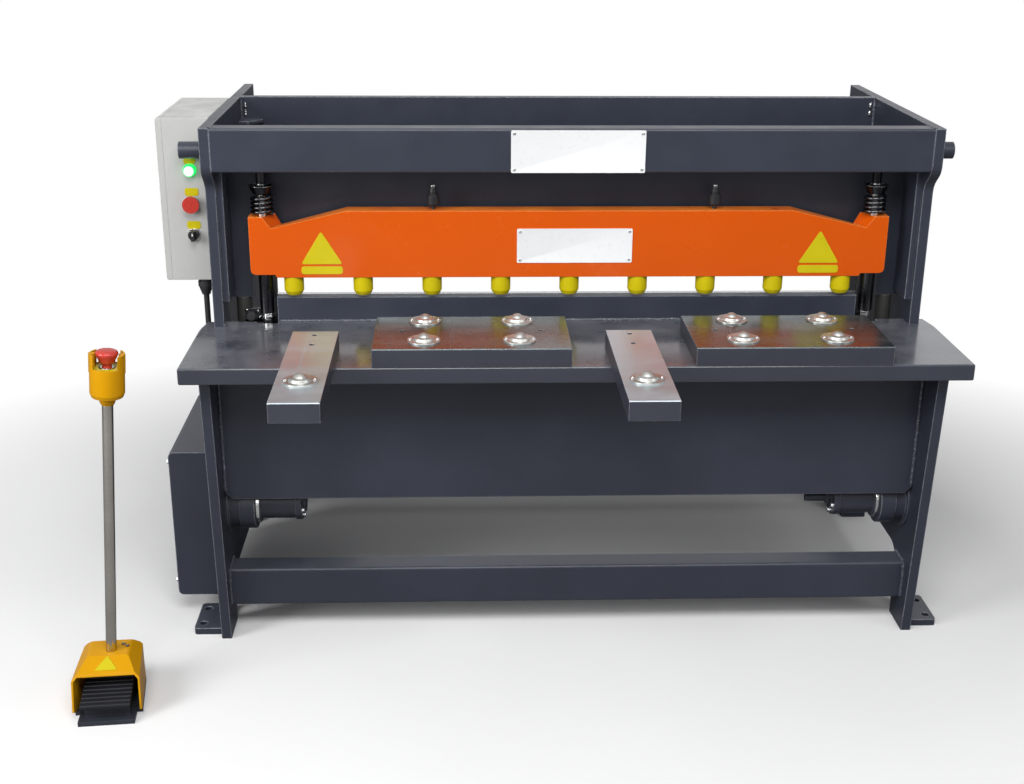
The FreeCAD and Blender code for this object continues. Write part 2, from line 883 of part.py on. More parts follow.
# lifting bars
lift_z = S.frame_top - S.lift_down
node(group("lift", [
    rod("lift_l", S.lift_r, S.lift_out, -S.outer_half - S.lift_out, S.lift_y, lift_z, "x"),
    rod("lift_r", S.lift_r, S.lift_out, S.outer_half, S.lift_y, lift_z, "x"),
]), "lifting_bars")

# hold-down: a casting lofted from its front face to its rear face, because the bosses widen to the back


def hold_face(boss, valley):
    """Outline of one face of the hold-down, with the given widths at its bosses."""
    half = [
        (S.hold_flat, hold_top),
        (hold_half - boss - valley, boss_top - S.valley_drop),
        (hold_half - boss, boss_top),
        (hold_half, boss_top),
        (hold_half, boss_low + S.hold_round),
        (hold_half - S.hold_round * 0.3, boss_low + S.hold_round * 0.3),
        (hold_half - S.hold_round, boss_low),
        (hold_half - S.boss_rear, boss_low),
        (hold_half - S.boss_rear - S.step_run, hold_low),
    ]
    return half + [(-a, b) for a, b in reversed(half)]


hold = body("hold")
face_front = sketch_on(hold, "XZ_Plane", "hold_face_front")
outline(face_front, hold_face(S.boss_front, S.valley_front))
face_rear = sketch_on(hold, "XZ_Plane", "hold_face_rear")
outline(face_rear, hold_face(S.boss_rear, S.valley_rear))
bind(face_rear, "AttachmentOffset.Base.z", -S.hold_thk)
hold_loft = hold.newObject("PartDesign::AdditiveLoft", "hold_loft")
hold_loft.Profile = face_front
hold_loft.Sections = [face_rear]
hold_loft.Ruled = True
hold.Tip = hold_loft
place(hold, 0.0, S.hold_front)
hold_bores = []
for side in (-1, 1):
    hold_bores.append(rod("hold_bore_%d" % (side + 1), S.post_r + S.post_fit, S.hold_high + 20, post_x * side,
                          hold_mid_y, boss_low - 10))
node(cut("hold_drilled", hold, hold_bores), "hold_down_beam")


def pad_plug(i):
    """One urethane plug with a tapered pressing end."""
    plug = turned("plug_%d" % i, [
        (0.0, pad_low),
        (S.pad_tip_r - 2, pad_low),
        (S.pad_tip_r, pad_low + 2),
        (S.pad_r, pad_low + S.pad_taper),
        (S.pad_r, hold_low),
        (0.0, hold_low),
    ])
    place(plug, S.pad_pitch * (i - (S.pad_count - 1) / 2), hold_mid_y)
    return plug


node(group("plugs", [pad_plug(i) for i in range(int(S.pad_count.num))]), "pressure_pads")

# hand screws with silver caps on the hold-down
knobs = []
for x, tag in ((-306.0, "l"), (322.0, "r")):
    piece = turned("knob_" + tag, [
        (0.0, 0.0),
        (5.0, 0.0),
        (5.0, 8.0),
        (14.0, 12.0),
        (14.0, 30.0),
        (9.0, 34.0),
        (9.0, 40.0),
        (6.0, 50.0),
        (0.0, 50.0),
    ])
    place(piece, x, hold_mid_y, hold_top)
    knobs.append(piece)
node(group("knobs", knobs), "lock_knobs")

# guide posts, flared spring cups with nuts, stop sleeves and sockets
spring_low = boss_top + S.seat_gap
cup_low = spring_low + S.spring_high + S.seat_gap
cup_top = cup_low + S.cup_high
nut_low = cup_low + S.cup_floor
post_top = nut_low + S.nut_high + S.post_end
socket_top = S.socket_low + S.socket_high
posts, sleeves, cups, sockets = [], [], [], []
for side in (-1, 1):
    x = post_x * side
    tag = str(side + 1)
    posts.append(rod("post_" + tag, S.post_r, post_top - S.socket_low, x, hold_mid_y, S.socket_low))
    ring = rod("sleeve_o" + tag, S.sleeve_r, boss_low - S.seat_gap - S.sleeve_low, x, hold_mid_y,
               S.sleeve_low)
    ring_in = rod("sleeve_i" + tag, S.post_r, S.hold_high, x, hold_mid_y, S.sleeve_low - 20)
    sleeves.append(cut("sleeve_" + tag, ring, [ring_in]))
    cup = turned("cup_" + tag, [
        (S.post_r, cup_low),
        (S.cup_neck, cup_low),
        (S.cup_r, cup_top),
        (S.cup_r - S.cup_wall, cup_top),
        (S.cup_neck - 1, nut_low),
        (S.post_r, nut_low),
    ])
    place(cup, x, hold_mid_y)
    prism = doc.addObject("Part::Prism", "nut_o" + tag)
    prism.Polygon = 6
    bind(prism, "Circumradius", S.nut_r)
    bind(prism, "Height", S.nut_high)
    place(prism, x, hold_mid_y, nut_low)
    nut_in = rod("nut_i" + tag, S.post_r, S.nut_high + 2, x, hold_mid_y, nut_low - 1)
    cups.append(cup)
    cups.append(cut("nut_" + tag, prism, [nut_in]))
    solid = block("socket_o" + tag, (x - S.socket_half, x + S.socket_half),
                  (hold_mid_y - S.socket_half, S.bed_front), (S.socket_low, socket_top))
    hole = rod("socket_i" + tag, S.post_r, S.socket_high + 40, x, hold_mid_y, S.socket_low - 20)
    sockets.append(cut("socket_" + tag, solid, [hole]))
node(group("posts", posts), "guide_posts")
node(group("sleeves", sleeves + cups), "stop_sleeves")
node(group("sockets", sockets), "post_sockets")


def coil(tag, side):
    """A compression spring: a six-sided wire swept along its helix."""
    pitch = (S.spring_high.num - 2 * S.wire_r.num) / S.spring_turns.num
    mean_r = S.spring_r.num - S.wire_r.num
    slope = math.atan2(pitch, 2 * math.pi * mean_r)
    corners = []
    for k in range(7):
        angle = math.radians(60 * k + 30)
        out = S.wire_r.num * math.cos(angle)
        up = S.wire_r.num * math.sin(angle)
        corners.append(Vector(mean_r + out, -up * math.sin(slope), up * math.cos(slope)))
    helix = Part.Wire(Part.makeHelix(pitch, pitch * S.spring_turns.num, mean_r).Edges)
    feature = doc.addObject("Part::Feature", "coil_" + tag)
    feature.Shape = helix.makePipeShell([Part.makePolygon(corners)], True, True)
    place(feature, post_x * side, hold_mid_y, spring_low + S.wire_r, Z_AXIS, 90.0 - 90.0 * side)
    return feature


node(group("coils", [coil("l", -1), coil("r", 1)]), "hold_down_springs")


def support(name, x, front, back, wide, holes):
    """A ground bar on the table, bevelled round its top."""
    obj = slab(name, "XY_Plane", [
        (x - wide / 2, front),
        (x + wide / 2, front),
        (x + wide / 2, back),
        (x - wide / 2, back),
    ], S.block_high, False, holes)
    rounded(obj, S.block_edge, X_AXIS, lambda p: near(p.z, S.block_high), name + "_x", "Chamfer")
    place(obj, 0.0, 0.0, S.table_top)
    return obj


arms, blocks = [], []
for x, name in ((S.arm_x_left, "left_arm"), (S.arm_x_right, "right_arm")):
    arms.append(support(name, x, S.arm_front, S.arm_back, S.arm_wide,
                        [(x, S.arm_hole_y1, S.block_hole_r), (x, S.arm_hole_y2, S.block_hole_r)]))
for x, name in ((S.block_x_left, "left_block"), (S.block_x_right, "right_block")):
    blocks.append(support(name, x, S.block_front, S.block_back, S.block_wide,
                          [(x - S.block_hole_x, S.ball_row_y, S.block_hole_r),
                           (x + S.block_hole_x, S.ball_row_y, S.block_hole_r)]))
node(group("arms", arms), "support_arms")
node(group("blocks", blocks), "support_blocks")


def ball_unit(tag, x, y):
    """A ball transfer unit: a stamped flange, its hub and the ball that stands out of it."""
    rise = S.bed_top - block_top - S.ball_r
    cap = S.hub_high + 1.5
    unit = turned("ball_" + tag, [
        (0.0, 0.0),
        (S.flange_r, 0.0),
        (S.flange_r, S.flange_thk),
        (S.hub_r, S.flange_thk),
        (S.hub_r - 2, S.hub_high),
        (S.ball_r + 1, cap),
        (0.0, cap),
    ])
    place(unit, x, y, block_top)
    ball = doc.addObject("Part::Sphere", "ball_s" + tag)
    bind(ball, "Radius", S.ball_r)
    place(ball, x, y, block_top + rise)
    keep = rod("ball_k" + tag, S.ball_r + 1, S.ball_r * 2, x, y, block_top + 1)
    return fuse("ball_unit_" + tag, [unit, common("ball_d" + tag, ball, keep)])


units = [ball_unit("al", S.arm_x_left, S.arm_ball_y), ball_unit("ar", S.arm_x_right, S.arm_ball_y)]
for x, name in ((S.block_x_left, "left"), (S.block_x_right, "right")):
    for i in (-1, 1):
        for j in (-1, 1):
            units.append(ball_unit("%s%d%d" % (name[0], i + 1, j + 1), x + S.ball_pitch_x / 2 * i,
                                   S.ball_row_y + S.ball_pitch_y / 2 * j))
node(group("units", units), "ball_units")

# electrical cabinet on two rails, with its door on the outside
cabinet = slab("cabinet", "XZ_Plane", [
    (-cab_out + S.door_thk, cab_low),
    (-cab_in, cab_low),
    (-cab_in, cab_top),
    (-cab_out + S.door_thk, cab_top),
], S.cab_deep, True)
place(cabinet, 0.0, S.cab_front)
door = slab("door", "XZ_Plane", [
    (-cab_out, cab_low),
    (-cab_out + S.door_thk, cab_low),
    (-cab_out + S.door_thk, cab_top),
    (-cab_out, cab_top),
], S.cab_deep, True)
rounded(door, S.cab_round, Y_AXIS, lambda p: near(p.x, -cab_out, 0.5), "door_round")
place(door, 0.0, S.cab_front)
node(door, "cabinet_door")
rails = []
for i, z in enumerate((cab_low + 40, cab_top - 70)):
    rails.append(block("rail_%d" % i, (-cab_in, -S.outer_half),
                       (S.cab_front + 30, S.cab_front + S.cab_deep - 30), (z, z + 30)))
node(group("cabinet_set", [cabinet] + rails), "cabinet_box")

lamp_z = S.frame_top - S.lamp_down - S.cab_down
stop_z = S.frame_top - S.stop_down - S.cab_down
selector_z = S.frame_top - S.selector_down - S.cab_down


def front_disc(name, radius, length, z, start=0.0):
    """A round piece on the cabinet's front face, towards the operator."""
    return rod(name, radius, length, button_x, S.cab_front - start - length, z, "y")


lamp = fuse("lamp", [front_disc("lamp_bezel", S.bezel_r, S.bezel_high, lamp_z),
                     front_disc("lamp_lens", S.bezel_r - 3, 12.0, lamp_z, S.bezel_high)])
node(lamp, "signal_lamp")
collars = []
for tag, z in (("stop", stop_z), ("selector", selector_z)):
    collars.append(cut(tag + "_collar", front_disc(tag + "_collar_o", S.bezel_r, S.bezel_high, z),
                       [front_disc(tag + "_collar_i", S.collar_r, S.bezel_high + 2, z, -1.0)]))
node(group("collars", collars), "button_collars")
push = fuse("push", [front_disc("stop_stem", S.stem_r, 9.0, stop_z, 4.6),
                     front_disc("stop_head", S.stop_r, 9.0, stop_z, 13.0)])
node(push, "stop_button")
turn = fuse("selector", [
    front_disc("selector_stem", S.stem_r, 10.0, selector_z, 0.3),
    front_disc("selector_head", S.bezel_r - 3, 6.0, selector_z, 8.0),
    block("selector_grip", (button_x - 4, button_x + 4), (S.cab_front - 26, S.cab_front - 12),
          (selector_z - 11, selector_z + 11)),
])
node(turn, "selector_switch")

# lead from the cabinet down to the drive cover, with a gland at each end
lead_x = -cab_in - S.lead_in
gland = [
    turned("gland_top", [
        (S.lead_r, -S.gland_long),
        (S.lead_r + 3, -S.gland_long),
        (S.gland_r - 2, -S.gland_long * 0.6),
        (S.gland_r - 2, -S.gland_long * 0.5),
        (S.gland_r, -S.gland_long * 0.5),
        (S.gland_r, -S.gland_long * 0.2),
        (S.gland_r - 3, -S.gland_long * 0.2),
        (S.gland_r - 3, 0.0),
        (S.lead_r, 0.0),
    ]),
    turned("gland_low", [
        (S.lead_r, 0.0),
        (S.gland_r - 3, 0.0),
        (S.gland_r - 3, 8.0),
        (S.gland_r - 1, 8.0),
        (S.gland_r - 1, 16.0),
        (S.lead_r + 3, 24.0),
        (S.lead_r, 24.0),
    ]),
]
place(gland[0], lead_x, S.lead_y, cab_low)
place(gland[1], lead_x, S.lead_y, cover_top)
lead = rod("lead", S.lead_r, cab_low - cover_top, lead_x, S.lead_y, cover_top)
node(group("lead_set", [lead] + gland), "motor_lead")

# foot control: base, hood, treadle, leaning column and stop switch in a cup


def foot_node(obj, label):
    """Turns a finished piece of the foot control to face the operator, and names it."""
    turned_set = group(label + "_set", [obj])
    cosine = Size(math.cos(math.radians(S.foot_turn.num)), "cos(Sizes.foot_turn * 1deg)")
    sine = Size(math.sin(math.radians(S.foot_turn.num)), "sin(Sizes.foot_turn * 1deg)")
    place(turned_set, S.foot_x - S.foot_x * cosine + S.foot_y * sine,
          S.foot_y - S.foot_x * sine - S.foot_y * cosine, 0.0, Z_AXIS, S.foot_turn.num)
    return node(turned_set, label)


def guard_side(y, inset):
    """Half of the hood's width at a place along it, less an inset."""
    share = (Size.of(y) - S.guard_front) / (S.guard_rear - S.guard_front)
    return S.guard_half - S.guard_taper * share - inset


base_plate = slab("base_plate", "XY_Plane", [
    (S.foot_x - S.base_half, S.base_front),
    (S.foot_x + S.base_half, S.base_front),
    (S.foot_x + S.base_half, S.base_step_y),
    (S.foot_x + guard_side(S.base_step_y, 0.0), S.base_step_y),
    (S.foot_x + guard_side(S.base_rear, 0.0), S.base_rear),
    (S.foot_x - guard_side(S.base_rear, 0.0), S.base_rear),
    (S.foot_x - guard_side(S.base_step_y, 0.0), S.base_step_y),
    (S.foot_x - S.base_half, S.base_step_y),
], S.base_thk)
base_body = block("base_body", (S.foot_x - S.body_half, S.foot_x + S.body_half),
                  (S.body_front, S.guard_rear - S.guard_wall - S.seat_gap),
                  (S.base_thk, S.body_high))
foot_node(fuse("base_set", [base_plate, base_body]), "pedal_base")


def hood(tag, inset, drop):
    """The hood's front section, run from front to back, shared with its side outline."""
    half = S.guard_half - inset
    top_half = S.guard_top_half - inset * 0.6
    top = S.guard_high - inset
    knee = S.guard_knee - inset * 0.4
    low = S.base_thk - drop
    front = S.guard_front - drop
    across = slab(tag + "_across", "XZ_Plane", [
        (-half, low),
        (half, low),
        (half, knee),
        (top_half, top),
        (-top_half, top),
        (-half, knee),
    ], S.guard_rear - inset - front, True)
    rounded(across, S.guard_round, Y_AXIS, lambda p: p.z > S.base_thk.num + 20, tag + "_round")
    place(across, S.foot_x, front)
    return across


side_view = slab("guard_side", "YZ_Plane", [
    (S.guard_front, S.guard_low),
    (S.guard_knee_y, S.guard_knee),
    (S.guard_lip_y, S.guard_lip),
    (S.guard_ridge_y, S.guard_high),
    (S.guard_rear - 14, S.guard_high),
    (S.guard_rear, S.guard_high - 14),
    (S.guard_rear, S.base_thk),
    (S.base_step_y, S.base_thk),
], S.guard_half * 2)
place(side_view, S.foot_x - S.guard_half)
inner_view = slab("guard_hollow_side", "YZ_Plane", [
    (S.guard_front - 20, S.base_thk - 10),
    (S.guard_front - 20, S.guard_lip - 25),
    (S.guard_lip_y, S.guard_lip - S.guard_wall),
    (S.guard_ridge_y, S.guard_high - S.guard_wall),
    (S.guard_rear - 14 - S.guard_wall, S.guard_high - S.guard_wall),
    (S.guard_rear - S.guard_wall, S.guard_high - 14 - S.guard_wall),
    (S.guard_rear - S.guard_wall, S.base_thk - 10),
], S.guard_half * 2)
place(inner_view, S.foot_x - S.guard_half)


def plan_view(tag, inset, front):
    """The hood's outline from above, narrower at the rear."""
    return slab(tag, "XY_Plane", [
        (S.foot_x - guard_side(front, inset), front),
        (S.foot_x + guard_side(front, inset), front),
        (S.foot_x + guard_side(S.guard_rear, inset), S.guard_rear),
        (S.foot_x - guard_side(S.guard_rear, inset), S.guard_rear),
    ], S.guard_high + 10)


skin = hood("guard_skin", Size.of(0.0), Size.of(0.0))
shell = common("guard_shell", common("guard_block", skin, side_view),
               plan_view("guard_plan", Size.of(0.0), S.guard_front))
hollow = common("guard_hollow", common("guard_void_block", hood("guard_void", S.guard_wall, Size.of(10.0)),
                                       inner_view),
                plan_view("guard_void_plan", S.guard_wall, S.guard_front - 20))
foot_node(cut("guard", shell, [hollow]), "pedal_guard")

# ribbed treadle, hinged at its rear on a pin that reaches the hood's walls
treadle_run = S.treadle_rear - S.treadle_front


def treadle_z(y):
    """Height of the treadle's underside at a place along it."""
    return S.treadle_low + S.treadle_rise * ((Size.of(y) - S.treadle_front) / treadle_run)


def tread_point(share, up):
    """A point of the ribbed top by its share of the treadle's length."""
    y = S.treadle_front + treadle_run * share
    return (y, treadle_z(y) + S.treadle_thk + up)


tread = [(S.treadle_front, treadle_z(S.treadle_front)), (S.treadle_rear, treadle_z(S.treadle_rear))]
tread.append(tread_point(1.0, 0.0))
for i in reversed(range(int(S.tread_ribs.num))):
    middle = (i + 0.6) / (S.tread_ribs.num + 2.0)
    for share, up in ((0.030, 0.0), (0.022, S.rib_up), (-0.022, S.rib_up), (-0.030, 0.0)):
        tread.append(tread_point(middle + share, up))
tread.append(tread_point(0.0, 0.0))
treadle = slab("treadle", "YZ_Plane", tread, S.treadle_half * 2)
place(treadle, S.foot_x - S.treadle_half)
hinge_half = guard_side(S.hinge_y, S.guard_wall + S.seat_gap * 2)
hinge_z = treadle_z(S.hinge_y) + S.treadle_thk / 2
hinge = rod("treadle_hinge", S.hinge_r, hinge_half * 2, S.foot_x - hinge_half, S.hinge_y, hinge_z, "x")
foot_node(fuse("treadle_whole", [treadle, hinge]), "pedal_treadle")


def on_column(obj, height):
    """Stands a piece on the leaning column."""
    height = Size.of(height)
    angle = math.radians(S.column_lean.num)
    base_z = S.guard_high + S.seat_gap + S.seat_gap * 2
    foot = S.foot_x + S.column_off
    x = Size(foot.num + math.sin(angle) * height.num,
             "(%s + sin(Sizes.column_lean * 1deg) * %s)" % (foot.txt, height.txt))
    z = Size(base_z.num + math.cos(angle) * height.num,
             "(%s + cos(Sizes.column_lean * 1deg) * %s)" % (base_z.txt, height.txt))
    place(obj, x, S.foot_y, z, Y_AXIS, S.column_lean.num)
    return obj


column = doc.addObject("Part::Cylinder", "column")
bind(column, "Radius", S.column_r)
bind(column, "Height", S.column_len)
on_column(column, 0.0)
foot_node(column, "pedal_column")

case = turned("stop_case_o", [
    (0.0, 0.0),
    (S.case_neck - 3, 0.0),
    (S.case_neck, 6.0),
    (S.case_neck, S.case_neck_high),
    (S.case_r - S.case_round, S.case_neck_high),
    (S.case_r - 3, S.case_neck_high + 4),
    (S.case_r, S.case_neck_high + S.case_round),
    (S.case_r, S.case_high),
    (S.case_r - S.case_wall, S.case_high),
    (S.case_r - S.case_wall, S.case_deck),
    (S.stem_bore, S.case_deck),
    (S.stem_bore, S.case_deck - 20),
    (0.0, S.case_deck - 20),
])
on_column(case, S.column_len)
windows = []
for tag, turn_by in (("front", 0.0), ("rear", 180.0)):
    window = doc.addObject("Part::Box", "case_window_" + tag)
    bind(window, "Length", S.case_r * 1.36)
    bind(window, "Width", S.case_r * 1.2)
    bind(window, "Height", S.case_high)
    lift = S.column_len + S.case_rim
    angle = math.radians(S.column_lean.num)
    half = S.case_r * 0.68
    window_x = S.foot_x + S.column_off + lift * math.sin(angle) - half * math.cos(angle)
    window_y = S.foot_y - S.case_r * 1.2 if tag == "front" else S.foot_y
    window_z = S.guard_high + S.seat_gap * 3 + lift * math.cos(angle) + half * math.sin(angle)
    place(window, window_x, window_y, window_z, Y_AXIS, S.column_lean.num)
    windows.append(window)
ears = []
for tag, sign in (("l", -1), ("r", 1)):
    ear = turned("case_ear_" + tag, [
        (0.0, S.case_rim - 16),
        (S.ear_r, S.case_rim - 12),
        (S.ear_r, S.case_high),
        (2.4, S.case_high),
        (2.4, S.case_high - 8),
        (0.0, S.case_high - 8),
    ])
    angle = math.radians(S.column_lean.num)
    reach = (S.case_r - S.ear_r + 1.5) * sign
    ear_x = S.foot_x + S.column_off + S.column_len * math.sin(angle) + reach * math.cos(angle)
    ear_z = S.guard_high + S.seat_gap * 3 + S.column_len * math.cos(angle) - reach * math.sin(angle)
    place(ear, ear_x, S.foot_y, ear_z, Y_AXIS, S.column_lean.num)
    ears.append(ear)
foot_node(fuse("stop_case_whole", [cut("stop_case_cup", case, windows)] + ears), "stop_case")

mushroom = turned("mushroom", [
    (0.0, 0.0),
    (S.stem_bore - 1.5, 0.0),
    (S.stem_bore - 1.5, 28.0),
    (S.mushroom_r - 7, 30.0),
    (S.mushroom_r - 1, 44.0),
    (S.mushroom_r, 48.0),
    (S.mushroom_r - 2, 52.0),
    (S.mushroom_r - 9, 54.0),
    (0.0, 55.0),
])
on_column(mushroom, S.column_len + S.mushroom_lift)
foot_node(mushroom, "stop_mushroom")

# check every feature, then write one file for each sub-part
doc.recompute()
bad = [obj.Name for obj in doc.Objects if "Invalid" in obj.State or "Error" in obj.State]
if bad:
    raise RuntimeError("failed objects: %s" % ", ".join(bad))
for obj in nodes:
    shape = obj.Shape
    if shape.isNull() or not shape.isValid() or not shape.Solids:
        raise RuntimeError("bad shape: " + obj.Label)
    print("%-26s solids %2d  volume %10.0f mm3" % (obj.Label, len(shape.Solids), shape.Volume))
for obj in nodes:
    obj.Shape.exportStep("parts/%s.step" % obj.Label)
print("nodes written:", len(nodes))
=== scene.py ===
# %% [markdown]
# # Dressing a guillotine shear
# This lesson takes the plain solids of a sheet-metal shear and gives them paint, ground steel, rubber
# and light. The solids already have the right sizes, so nothing in them is moved. We add what a solid
# model leaves out: weld beads, screws, blank plates, coiled springs, and above all the surfaces.

import math

import bmesh
import bpy
from mathutils import Matrix, Vector


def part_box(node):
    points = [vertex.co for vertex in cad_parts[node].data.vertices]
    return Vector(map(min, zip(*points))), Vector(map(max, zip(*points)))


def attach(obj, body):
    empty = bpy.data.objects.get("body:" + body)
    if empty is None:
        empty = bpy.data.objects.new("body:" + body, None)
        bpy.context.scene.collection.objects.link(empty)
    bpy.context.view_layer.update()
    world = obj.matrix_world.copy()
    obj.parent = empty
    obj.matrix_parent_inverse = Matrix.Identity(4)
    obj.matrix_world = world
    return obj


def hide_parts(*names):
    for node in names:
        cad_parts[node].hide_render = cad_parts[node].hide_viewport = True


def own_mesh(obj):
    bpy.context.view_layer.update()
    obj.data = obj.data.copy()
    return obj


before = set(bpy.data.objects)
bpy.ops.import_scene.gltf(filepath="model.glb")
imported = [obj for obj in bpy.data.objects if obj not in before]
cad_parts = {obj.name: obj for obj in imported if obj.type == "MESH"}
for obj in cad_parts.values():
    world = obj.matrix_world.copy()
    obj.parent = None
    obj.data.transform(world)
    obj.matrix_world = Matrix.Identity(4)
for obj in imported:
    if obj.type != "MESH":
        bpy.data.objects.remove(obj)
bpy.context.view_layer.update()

# %% [markdown]
# ## Small helpers for modelling by hand
# Each new piece starts as a primitive, is shaped in edit mode and then has its place written into its
# mesh, so that its object sits at the origin. A pattern on Object coordinates then stays where it is.
# An operator acts on everything that is selected, so we always clear the selection first.

# %% Selecting and finishing a piece


def nothing_selected():
    """Clears the selection, in object mode."""
    if bpy.context.mode != "OBJECT":
        bpy.ops.object.mode_set(mode="OBJECT")
    bpy.ops.object.select_all(action="DESELECT")


def only(piece):
    """Selects one piece and makes it the active one."""
    nothing_selected()
    piece.select_set(True)
    bpy.context.view_layer.objects.active = piece


def pick(piece, kind, test):
    """Enters edit mode with the faces or edges that pass a test selected."""
    only(piece)
    bpy.ops.object.mode_set(mode="EDIT")
    bpy.ops.mesh.select_mode(type="FACE" if kind == "faces" else "EDGE")
    bpy.ops.mesh.select_all(action="DESELECT")
    shape = bmesh.from_edit_mesh(piece.data)
    for item in (shape.faces if kind == "faces" else shape.edges):
        item.select_set(bool(test(item)))
    shape.select_flush_mode()
    bmesh.update_edit_mesh(piece.data)


def edit_done():
    """Goes back to object mode."""
    bpy.ops.object.mode_set(mode="OBJECT")


def put_in_mesh(piece):
    """Writes the object's place, turn and size into its mesh."""
    only(piece)
    bpy.ops.object.transform_apply(location=True, rotation=True, scale=True)


def faces_up(face):
    """Tells whether a face looks up."""
    return face.normal.z > 0.9


def bevelled(piece, kind, test, offset, segments=2):
    """Bevels the edges of the faces or edges that pass a test."""
    pick(piece, kind, test)
    bpy.ops.mesh.bevel(offset=offset, segments=segments, affect="EDGES")
    edit_done()
    return piece


def joined(pieces):
    """Joins pieces into the first of them."""
    nothing_selected()
    for piece in pieces:
        piece.select_set(True)
    bpy.context.view_layer.objects.active = pieces[0]
    bpy.ops.object.join()
    return pieces[0]


def cut_out(piece, cutter):
    """Takes a cutter's shape out of a piece, then deletes the cutter."""
    hole = piece.modifiers.new("hole", "BOOLEAN")
    hole.object = cutter
    hole.operation = "DIFFERENCE"
    hole.solver = "EXACT"
    only(piece)
    bpy.ops.object.modifier_apply(modifier="hole")
    only(cutter)
    bpy.ops.object.delete()
    return piece


def finish_piece(piece, name, finish, body="frame", smooth=None):
    """Applies what is live, names the piece, paints it and lets it ride on its body."""
    only(piece)
    for modifier in list(piece.modifiers):
        bpy.ops.object.modifier_apply(modifier=modifier.name)
    put_in_mesh(piece)
    bpy.ops.object.mode_set(mode="EDIT")
    bpy.ops.mesh.select_all(action="SELECT")
    bpy.ops.mesh.remove_doubles(threshold=0.00001)
    bpy.ops.mesh.normals_make_consistent(inside=False)
    edit_done()
    if smooth is not None:
        bpy.ops.object.shade_smooth_by_angle(angle=math.radians(smooth))
    piece.name = name
    piece.data.name = name
    piece.data.materials.clear()
    piece.data.materials.append(finish)
    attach(piece, body)
    return piece


# %% Starting shapes and copies


def bar(low, high, bevel=0.0):
    """A box between two corners, with all its edges bevelled if a width is given."""
    nothing_selected()
    middle = [(a + b) / 2 for a, b in zip(low, high)]
    bpy.ops.mesh.primitive_cube_add(size=1, location=middle)
    piece = bpy.context.object
    piece.scale = [b - a for a, b in zip(low, high)]
    put_in_mesh(piece)
    if bevel:
        bevelled(piece, "edges", lambda edge: True, bevel)
    return piece


def disc(centre, radius, depth, corners):
    """A round or six-sided blank that stands upright about its centre."""
    nothing_selected()
    bpy.ops.mesh.primitive_cylinder_add(vertices=corners, radius=radius, depth=depth, location=centre)
    piece = bpy.context.object
    put_in_mesh(piece)
    return piece


def ring_by_ring(rings, corners=48, place=None):
    """A turned solid, raised ring by ring from (radius, height) pairs and then put in its place."""
    nothing_selected()
    radius, height = rings[0]
    bpy.ops.mesh.primitive_circle_add(vertices=corners, radius=radius, location=(0, 0, height),
                                      fill_type="NGON")
    piece = bpy.context.object
    put_in_mesh(piece)
    bpy.ops.object.mode_set(mode="EDIT")
    bpy.ops.mesh.select_mode(type="FACE")
    bpy.ops.mesh.select_all(action="SELECT")
    for wide, high in rings[1:]:
        bpy.ops.mesh.extrude_region_move(TRANSFORM_OT_translate={"value": (0, 0, high - height)})
        share = wide / radius
        bpy.ops.transform.resize(value=(share, share, 1), center_override=(0, 0, high))
        radius, height = wide, high
    edit_done()
    if place is not None:
        piece.data.transform(place)
    return piece


def copies(pattern, places):
    """One piece made of copies of a pattern, each with its own mesh, at the given transforms."""
    made = []
    for place in places:
        twin = pattern.copy()
        twin.data = pattern.data.copy()
        bpy.context.collection.objects.link(twin)
        twin.data.transform(place)
        made.append(twin)
    whole = joined(made)
    only(pattern)
    bpy.ops.object.delete()
    return whole


def at(x, y, z, turn=0.0, axis="Z"):
    """A transform: first the turn, then the move."""
    return Matrix.Translation((x, y, z)) @ Matrix.Rotation(turn, 4, axis)


print("helpers ready")

# %% [markdown]
# ## Shader groups
# Paint on a welded machine has four things in common wherever it is: a faint orange peel from the
# spray gun, a slow change of tone over a metre, dust that settles on what faces up, and light thin
# edges. The light edges are rubbed paint and also a painted highlight, and on the orange paint the
# colour on what faces up is a painted reflection of the sky. All painted surfaces here share one group
# for that, with their own values.
# Edges on a CAD solid are perfectly sharp. The Bevel node turns the normal near an edge, so the edge
# catches the light as a real one does, and comparing both normals gives a mask of where the edges are.
# The paint lightens along that mask, as wear and as a painted highlight.

# %% A helper that starts a group


def new_group(name, inputs, outputs):
    """An empty shader group with named sockets, and its two end nodes."""
    tree = bpy.data.node_groups.new(name, "ShaderNodeTree")
    kinds = {"c": "NodeSocketColor", "f": "NodeSocketFloat", "v": "NodeSocketVector"}
    for label, kind, value in inputs:
        socket = tree.interface.new_socket(label, in_out="INPUT", socket_type=kinds[kind])
        socket.default_value = value
    for label, kind in outputs:
        tree.interface.new_socket(label, in_out="OUTPUT", socket_type=kinds[kind])
    return tree, tree.nodes.new("NodeGroupInput"), tree.nodes.new("NodeGroupOutput")


